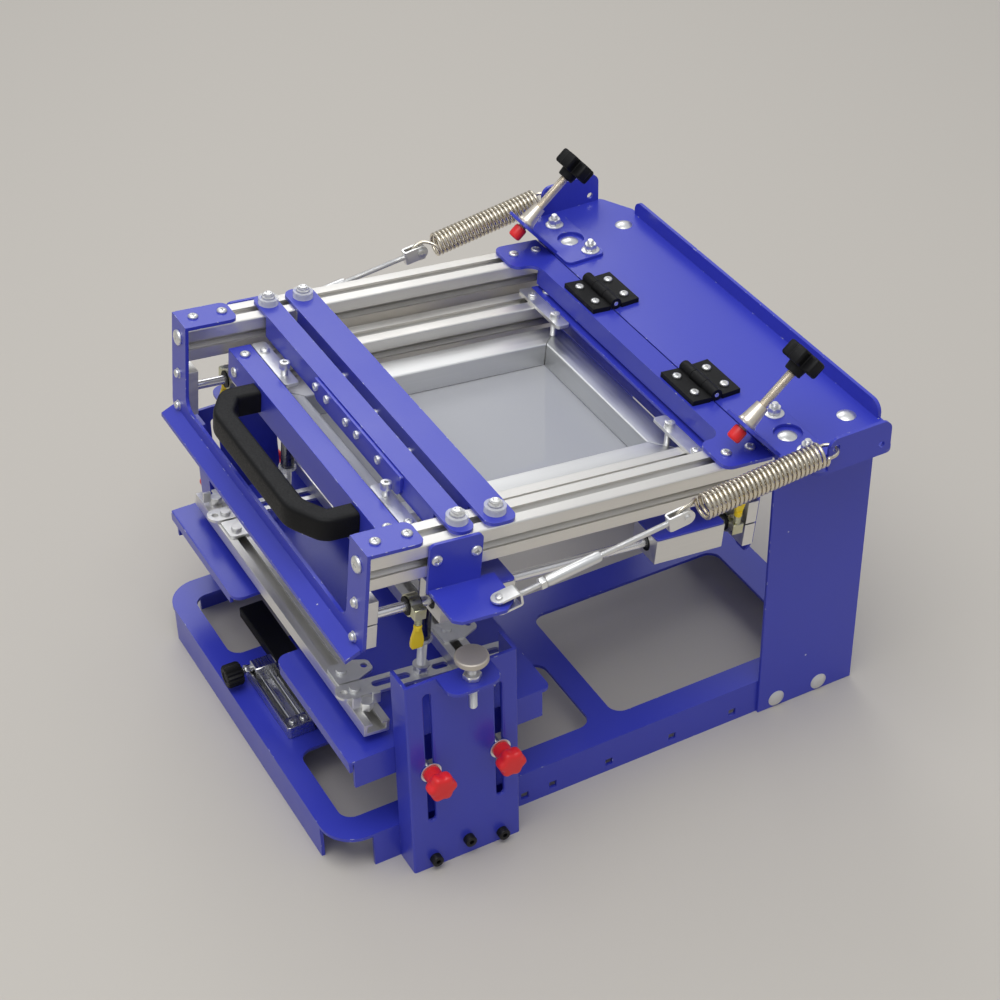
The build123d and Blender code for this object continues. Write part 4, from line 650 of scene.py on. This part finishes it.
frame_half, frame_front, frame_rear = 110, 93, 377
tube_size = (26, frame_top - 22, frame_top)
left_tube = mitred((-frame_half, frame_front), (-frame_half, frame_rear), (1, 0), *tube_size)
right_tube = mitred((frame_half, frame_rear), (frame_half, frame_front), (-1, 0), *tube_size)
front_tube = mitred((frame_half, frame_front), (-frame_half, frame_front), (0, 1), *tube_size)
rear_tube = mitred((-frame_half, frame_rear), (frame_half, frame_rear), (0, -1), *tube_size)
build("frame_sides", [left_tube, right_tube], "carriage", frame_along, ["screen_frame"],
      on_arm=True)
build("frame_ends", [front_tube, rear_tube], "carriage", frame_across, on_arm=True)
mesh_cloth, nodes, links, shader = surface("printing_mesh", (0.50, 0.51, 0.54), roughness=0.4)
shader.inputs["Alpha"].default_value = 0.72
weave = pattern(nodes, links, "ShaderNodeTexChecker", 900.0)
roughen(nodes, links, shader, weave.outputs["Fac"], 0.00005, 0.3)
rounded("screen_mesh", 0.1, mesh_cloth, segments=1)

# ---- Springs ----------------------------------------------------------------------
# Two extension springs wound from 3 mm bright steel wire, each hooked into the deck's ear
# behind and round the link's pin in front.
spring_wire, nodes, links, shader = surface("spring_wire", (0.76, 0.70, 0.58), metallic=1.0, roughness=0.2)
wire_lines = pattern(nodes, links, "ShaderNodeTexNoise", 160.0, Detail=3.0)
links.new(spread(nodes, links, wire_lines.outputs["Fac"], 0.3, 0.7, 0.14, 0.3), shader.inputs["Roughness"])
front_pin = np.array([224.0, 132.513, 264.833])
line_way = np.array([0.0, 0.99228565, 0.12397249])
line_up = np.array([0.0, -0.12397249, 0.99228565])
out_way = np.array([1.0, 0.0, 0.0])
hook_front, coil_front, coil_rear, hook_rear = 162.74, 175.97, 286.57, 291.80
hook_radius, coil_radius, wire_radius, drift_out = 8.0, 9.5, 1.5, 3.5


def tube(path, radius, sides=12):
    """Pipe along a path: each ring's axes are the last ones less their part along the new direction."""
    path = np.asarray(path, float)
    way = np.gradient(path, axis=0)
    way /= np.linalg.norm(way, axis=1, keepdims=True)
    side = np.zeros_like(way)
    side[0] = upright(way[0])[0]
    for step in range(1, len(path)):
        kept = side[step - 1] - way[step] * np.dot(side[step - 1], way[step])
        side[step] = kept / np.linalg.norm(kept)
    other = np.cross(way, side)
    rim = circle(radius, sides)[None, :, :, None]
    return skin(path[:, None] + rim[:, :, 0] * side[:, None] + rim[:, :, 1] * other[:, None])


def eased(start, start_way, end, end_way, count=14):
    """Cubic between two points with the given tangents, without its first and last point."""
    t = np.linspace(0, 1, count)[1:-1, None]
    start, start_way, end, end_way = (np.array(part, float) for part in (start, start_way, end, end_way))
    return ((2 * t ** 3 - 3 * t ** 2 + 1) * start + (t ** 3 - 2 * t ** 2 + t) * start_way
            + (3 * t ** 2 - 2 * t ** 3) * end + (t ** 3 - t ** 2) * end_way)


def wound():
    """Wire's centre line as (along, out, up): hook, helix of 27.5 turns drifting outward, hook."""
    half = np.linspace(0, math.pi, 16)
    across, back = hook_radius * np.cos(half), hook_radius * np.sin(half)
    front = np.column_stack([hook_front - back, 0 * half, -across])
    front = np.concatenate([[(hook_front + 4, 0, -hook_radius)], front, [(hook_front + 3.5, 0, hook_radius)]])
    part = np.linspace(2 / 112, 1, 27 * 24)
    angle = 56 * math.pi * part
    helix = np.column_stack([coil_front + (coil_rear - coil_front) * part,
                             coil_radius * np.cos(angle) + drift_out * part, coil_radius * np.sin(angle)])
    rear = np.column_stack([hook_rear + back, drift_out + across, 0 * half])
    rear = np.concatenate([rear, [(hook_rear - 4, drift_out - hook_radius, 0)]])
    into = eased(front[-1], (14, 0, 0), helix[0], (0, 0, -16))
    away = eased(helix[-1], (0, 0, 7), rear[0], (7, 0, 0))
    along = np.concatenate([front, into, helix, away, rear])
    return front_pin + along[:, :1] * line_way + along[:, 1:2] * out_way + along[:, 2:] * line_up


for side, sign in (("left", -1), ("right", 1)):
    coil = tube(wound() * (sign, 1, 1), wire_radius)
    build(f"spring_coil_{side}", [coil], f"spring_{side}", spring_wire, [f"spring_{side}"],
          angle=60.0)

# ---- Turnbuckle links -------------------------------------------------------------
# Each link joins a bracket on the arm to its spring. Bent steel forks with flat-headed
# pins sit at both ends, screwed rods run into a plated tube, and a nut locks the front one.
def fork(distance, ahead, across, inner, width=6.5, reach=15.5):
    """Bent strip: two ears and a bridge; the ears end in half circles about the pin's axis."""
    wide = np.cross(ahead, across)
    swing = np.linspace(0.02, math.pi / 2, 10)
    ear = np.column_stack([-width * np.cos(swing), np.full(len(swing), inner + 1.0)])
    aside = inner + 1.0
    bend = filleted([(0.5, aside), (reach, aside), (reach, -aside), (0.5, -aside)], (2, 2), 7)
    line = np.concatenate([ear, bend, (ear * (1, -1))[::-1]])
    half = np.concatenate([width * np.sin(swing), np.full(len(bend), width), (width * np.sin(swing))[::-1]])
    way = np.gradient(line, axis=0)
    way /= np.linalg.norm(way, axis=1, keepdims=True)
    normal = np.column_stack([-way[:, 1], way[:, 0]])
    edge = [(1, 0.7), (1, -0.7), (0.96, -1), (-0.96, -1)]
    edge = np.array(edge + [(-wide_part, -thick_part) for wide_part, thick_part in edge])
    flat = line[:, None] + normal[:, None] * edge[None, :, 1:]
    return skin(front_pin + distance * line_way + flat[..., :1] * ahead + flat[..., 1:] * across
                + (half[:, None] * edge[None, :, 0])[..., None] * wide)


def link_pin(distance, across, inner):
    """Pin turned from its rows: flat head, shank past both ears, and a peened end."""
    end = 2 * inner + 7.2
    rows = [(0, 3.4), (0.3, 4.0), (1.3, 4.0), (1.5, 2.5), (end - 1, 2.5), (end - 0.4, 2.9), (end, 2.2)]
    return turned(rows, front_pin + distance * line_way - (inner + 3.5) * across, across)


tube_front, tube_rear = 38.79, 87.16
rod_radius, rod_start = 2.5, 16.0
front_gap, rear_gap = 4.3, 2.2
tube_rows = [(0, 3.0), (0.8, 4.0), (3, 4.5), (45.4, 4.5), (47.6, 4.0), (48.4, 3.0)]
link_shapes = [fork(0, line_way, line_up, front_gap), fork(hook_front, -line_way, out_way, rear_gap),
               link_pin(0, line_up, front_gap), link_pin(hook_front, out_way, rear_gap)]
for start, end in ((rod_start, tube_front + 1), (tube_rear - 1, hook_front - rod_start)):
    place = front_pin + start * line_way
    link_shapes.append(threaded(place, line_way, rod_radius, end - start, 1.0, 0.35, 16))
link_shapes.append(hex_nut(front_pin + (tube_front - 5) * line_way, line_way, 9.0, 4.8, 0.3))
link_shapes.append(turned(tube_rows, front_pin + tube_front * line_way, line_way, 24))
for side, sign in (("left", -1), ("right", 1)):
    placed = [(points * (sign, 1, 1), loops) for points, loops in link_shapes]
    build(f"link_{side}_made", placed, f"link_{side}", zinc, [f"spring_link_{side}"])

# ---- Stop screws and their knobs --------------------------------------------------
# Each arm stop is a threaded rod with a red rubber cap at its foot and a black knob of
# five square arms at its head, held by a tapered lock nut.
nickel_plate, nodes, links, shader = surface("nickel_plate", (0.80, 0.73, 0.62), metallic=0.9, roughness=0.3)
bloom = pattern(nodes, links, "ShaderNodeTexNoise", 90.0, Detail=3.0)
links.new(spread(nodes, links, bloom.outputs["Fac"], 0.3, 0.7, 0.24, 0.4), shader.inputs["Roughness"])
red, nodes, links, shader = surface("red_cap", (0.82, 0.020, 0.024), roughness=0.36)
blush = pattern(nodes, links, "ShaderNodeTexNoise", 120.0, Detail=2.0)
links.new(spread(nodes, links, blush.outputs["Fac"], 0.3, 0.7, 0.28, 0.44), shader.inputs["Roughness"])
stop_way = np.array([0.0, 58.6, 49.9]) / math.hypot(58.6, 49.9)
stop_foot = np.array([178.0, 360.4, 297.1]) + 7.0 * stop_way
cap_rows = [(0, 4.0), (0.5, 5.2), (1.6, 5.9), (3, 6.0), (9.5, 6.0), (11.4, 5.6), (12, 4.4)]
arm_levels = [(7.0, 0.90), (7.8, 0.97), (9.0, 1.0), (19.0, 1.0), (20.4, 0.97), (21.0, 0.90), (21.05, 0.5),
              (20.2, 0.46)]
nut_rows = [(0, 8.4), (1.2, 8.5), (2, 7.9), (4, 7.4), (13, 6.4), (17, 6.0), (19.3, 5.9), (19.5, 5.5)]


def star(arms, reach, half, samples=200, soften=7):
    """Outline of square arms: the farthest edge of any arm at each angle, then averaged a little."""
    angle = np.linspace(0, 2 * math.pi, samples, endpoint=False)
    off = angle[:, None] - np.arange(arms)[None, :] * 2 * math.pi / arms
    off = (off + math.pi) % (2 * math.pi) - math.pi
    ahead = np.where(np.abs(off) < 1.5, reach / np.maximum(np.cos(off), 0.05), 0)
    aside = np.where(np.abs(off) < 1.5, half / np.maximum(np.abs(np.sin(off)), 1e-3), 0)
    radius = np.minimum(ahead, aside).max(axis=1)
    pad = np.concatenate([radius[-soften:], radius, radius[:soften]])
    radius = np.convolve(pad, np.ones(soften) / soften, "same")[soften:-soften]
    return radius[:, None] * np.stack([np.cos(angle), np.sin(angle)], axis=-1)


for side, sign in (("left", -1), ("right", 1)):
    foot = stop_foot * (sign, 1, 1)
    screw, knob = f"stop_screw_{side}", f"stop_knob_{side}"
    rod = threaded(foot + 10 * stop_way, stop_way, 4.0, 61.0)
    build(f"stop_rod_{side}", [rod], screw, nickel_plate, [screw])
    build(f"stop_cap_{side}", [turned(cap_rows, foot, stop_way)], screw, red)
    head = foot + 69.9 * stop_way
    arms = stacked(star(5, 17.2, 5.4), arm_levels, head, stop_way)
    hub = turned([(0, 6.6), (0.6, 7.5), (7.2, 8.2)], head, stop_way)
    build(f"stop_handle_{side}", [arms, hub], knob, black, [knob])
lock_nut = turned(nut_rows, stop_foot + 16.6 * stop_way, stop_way)
build("stop_lock_nuts", both_sides([lock_nut]), "base", nickel_plate)

# ---- Height screws ----------------------------------------------------------------
# A plated thread with a wide flat button stands in the shelf of each stand. It catches
# the arm when the table is let down.
nickel, nodes, links, shader = surface("dull_nickel", (0.60, 0.55, 0.48), metallic=0.75, roughness=0.5)
tarnish = pattern(nodes, links, "ShaderNodeTexNoise", 80.0, Detail=3.0)
links.new(spread(nodes, links, tarnish.outputs["Fac"], 0.3, 0.7, 0.42, 0.60), shader.inputs["Roughness"])
stem_bottom, stem_length = 170.0, 47.2
button_rows = [(0, 11.5), (0.4, 12.6), (1.5, 13.4), (3.6, 13.5), (5.2, 13.1), (5.9, 12.2), (6.0, 11.0)]
for side, sign in (("left", -1), ("right", 1)):
    screw, knob = f"height_screw_{side}", f"height_knob_{side}"
    place = np.array([sign * height_screw_x, height_screw_y, stem_bottom])
    build(f"height_stem_{side}", [threaded(place, UP, 3.5, stem_length)], screw, zinc, [screw])
    button = turned(button_rows, place + (0, 0, stem_length - 0.2), UP, 48)
    build(f"height_button_{side}", [button], knob, nickel, [knob])

# ---- Clamp knobs ------------------------------------------------------------------
# Four red moulded knobs with six rounded lobes, each on a plated stud with a washer. The
# studs run through the stands' slots and hold the table at its height.
lobe_angle = np.linspace(0, 2 * math.pi, 120, endpoint=False)
lobes = (11.5 + 1.0 * np.cos(6 * lobe_angle + 0.6))[:, None] * circle(1.0, 120)
lobe_levels = [(0, 0.66), (1.2, 0.86), (3, 0.97), (5.5, 1.0), (9, 0.99), (10.8, 0.93), (11.8, 0.82),
               (12.2, 0.6), (12.3, 0.3)]
for side, sign in (("left", -1), ("right", 1)):
    for place, y, z in (("front", 75.5, 106.0), ("rear", 137.0, 103.0)):
        body = f"clamp_knob_{side}_{place}"
        way = (sign, 0, 0)
        grip = stacked(lobes, lobe_levels, (sign * 221.7, y, z), way)
        hub = turned([(0, 6.6), (0.5, 7.3), (10.5, 7.0)], (sign * 211.6, y, z), way)
        build(body + "_grip", [grip, hub], body, red, [body])
        stud = threaded((sign * 176.6, y, z), way, 3.0, 36.0, 1.0, 0.4)
        ring = washer((sign * 210.3, y, z), way, 9.0, 3.4, 1.2)
        build(body + "_stud", [stud, ring], body, zinc)

# ---- Hose clamps ------------------------------------------------------------------
# Steel bands with a worm screw in a small housing and a yellow moulded thumb key. Each is
# tightened on a black bush on the guide rod, as a stop for the carriage.
yellow, nodes, links, shader = surface("yellow_key", (0.90, 0.66, 0.02), roughness=0.4)
chalk = pattern(nodes, links, "ShaderNodeTexNoise", 150.0, Detail=2.0)
links.new(spread(nodes, links, chalk.outputs["Fac"], 0.3, 0.7, 0.3, 0.5), shader.inputs["Roughness"])
band_metal, nodes, links, shader = surface("passivated_band", (0.62, 0.60, 0.36), metallic=1.0, roughness=0.3)
stain = pattern(nodes, links, "ShaderNodeTexNoise", 130.0, Detail=3.0)
tone = nodes.new("ShaderNodeMix")
tone.data_type = "RGBA"
tone.inputs["A"].default_value = (0.45, 0.46, 0.22, 1)
tone.inputs["B"].default_value = (0.74, 0.72, 0.60, 1)
links.new(stain.outputs["Fac"], tone.inputs["Factor"])
links.new(tone.outputs["Result"], shader.inputs["Base Color"])
links.new(spread(nodes, links, stain.outputs["Fac"], 0.3, 0.7, 0.22, 0.4), shader.inputs["Roughness"])


def slab(low, high, inset=0.5):
    """Box between two corners with its edges cut back by inset: an eight-cornered outline, stacked."""
    low, high = np.asarray(low, float), np.asarray(high, float)
    middle, half = (low + high) / 2, (high - low) / 2
    corners = np.array([(-1, -1), (1, -1), (1, 1), (-1, 1)], float)
    cut = np.concatenate([corners * (half[:2] - back) for back in ((inset, 0), (0, inset))])
    cut = cut[np.argsort(np.arctan2(cut[:, 1] / half[1], cut[:, 0] / half[0]))]
    small = cut * (1 - inset / half[:2])
    levels = ((small, -half[2]), (cut, inset - half[2]), (cut, half[2] - inset), (small, half[2]))
    return skin(np.stack([np.column_stack([flat, np.full(8, level)]) for flat, level in levels]) + middle)


BACK = (0, 1, 0)
worm_x = 185.5
bush_rows = [(0.4, 4.2), (0.4, 7.6), (11.6, 7.6), (11.6, 4.2)]
fan = np.array([(2.5, 0), (3.4, 5), (5.4, 12), (6.0, 17), (5.6, 20.4), (4.6, 21.8)])
fan = np.concatenate([fan, (fan * (-1, 1))[::-1]])
for side, sign in (("left", -1), ("right", 1)):
    for place, y, down in (("front", 83.5, -1), ("rear", 371.0, 1)):
        body = f"hose_clamp_{side}_{place}"
        x, middle = sign * worm_x, y + 6
        bush = turned(bush_rows, (sign * rail_x, y, guide_z), BACK)
        build(body + "_bush", [bush], body, black, on_arm=True)
        band = washer((sign * rail_x, y + 1.5, guide_z), BACK, 9.0, 7.6, 9.0)
        house_x = sorted((x - sign * 4.4, x + sign * 3.4))
        house = slab((house_x[0], middle - 5, guide_z - 4.85), (house_x[1], middle + 5, guide_z + 4.85))
        worm = threaded((x, middle, guide_z + down * 3), (0, 0, down), 3.0, 8.4, 1.6, 0.5)
        build(body + "_band", [band, house, worm], body, band_metal, [body], on_arm=True)
        key_z = guide_z + down * 11.2
        blade = []
        for part in (-1, -0.7, 0.7, 1):
            across = middle + fan[:, 0] * (1 - 0.1 * abs(part))
            level = np.full(len(fan), x + part * 1.5)
            blade.append(np.column_stack([level, across, key_z + down * fan[:, 1]]))
        blade = skin(np.stack(blade))
        neck = turned([(0, 2.6), (1, 3.4), (4.5, 3.2)], (x, middle, key_z), (0, 0, down))
        build(body + "_key", [blade, neck], body, yellow, on_arm=True)

# ---- Fixture ----------------------------------------------------------------------
# A small steel vice on the base's bridge holds the workpiece's stand; its black knurled
# knob turns the screw. A black pad lies behind it.
steel, nodes, links, shader = surface("bright_steel", (0.60, 0.60, 0.60), metallic=1.0, roughness=0.26)
marks = pattern(nodes, links, "ShaderNodeTexNoise", 1.0, (30, 500, 500), Detail=3.0)
links.new(spread(nodes, links, marks.outputs["Fac"], 0.3, 0.7, 0.16, 0.38), shader.inputs["Roughness"])


def tray(low, high, wall, floor, corner=3.0):
    """Open box: rounded outline up the outside, over the rim, down the inside to the floor."""
    half, middle = (np.array(high[:2]) - low[:2]) / 2, (np.array(high[:2]) + low[:2]) / 2
    outline = round_cornered(half, corner, 6)
    inner = outline * (1 - wall / half)
    bottom, rim, inside = low[2], high[2], low[2] + floor
    rows = [(outline * 0.985, bottom), (outline, bottom + 0.6), (outline, rim - 0.3), (outline * 0.992, rim),
            (inner * 1.01, rim), (inner, rim - 0.3), (inner, inside + 0.5), (inner * 0.97, inside)]
    rings = [np.column_stack([flat + middle, np.full(len(flat), level)]) for flat, level in rows]
    return skin(np.stack(rings))


vice_screw_x, vice_screw_z = -31.0, 50.0
vice = [tray((-40, 20, 35), (52, 46, 47), 2.0, 2.0), slab((-37.8, 24, 37), (-24, 44, 53), 0.8),
        slab((36, 22.5, 37), (49.8, 43.5, 45), 0.8)]
vice += [turned([(0, 2), (61, 2)], (-24.5, y, 41.0), RIGHT) for y in (29.0, 39.0)]
vice += [pan_head((43.0, y, 45.0), UP, 3.2, 1.8) for y in (28.0, 38.0)]
vice.append(hex_nut((vice_screw_x, 20.0, vice_screw_z), FRONT, 8.0, 4.0, 0.3))
build("fixture_vice", vice, "base", steel, ["fixture_tray"])
rounded("fixture_pad", 1.5, black)
knob_edge = circle(1.0, 96) * (9.9 + 0.65 * np.cos(np.arange(96) * math.pi / 3))[:, None]
knob_levels = [(0, 0.86), (1, 0.97), (2, 1), (13, 1), (14.4, 0.95), (15, 0.84), (15.02, 0.5), (14.4, 0.46)]
knurled = stacked(knob_edge, knob_levels, (vice_screw_x, 13.0, vice_screw_z), FRONT)
build("fixture_grip", [knurled], "fixture_screw", black, ["fixture_knob"])
vice_screw = threaded((vice_screw_x, 13.5, vice_screw_z), BACK, 3.0, 28.0, 1.0, 0.4)
build("fixture_thread", [vice_screw], "fixture_screw", steel)
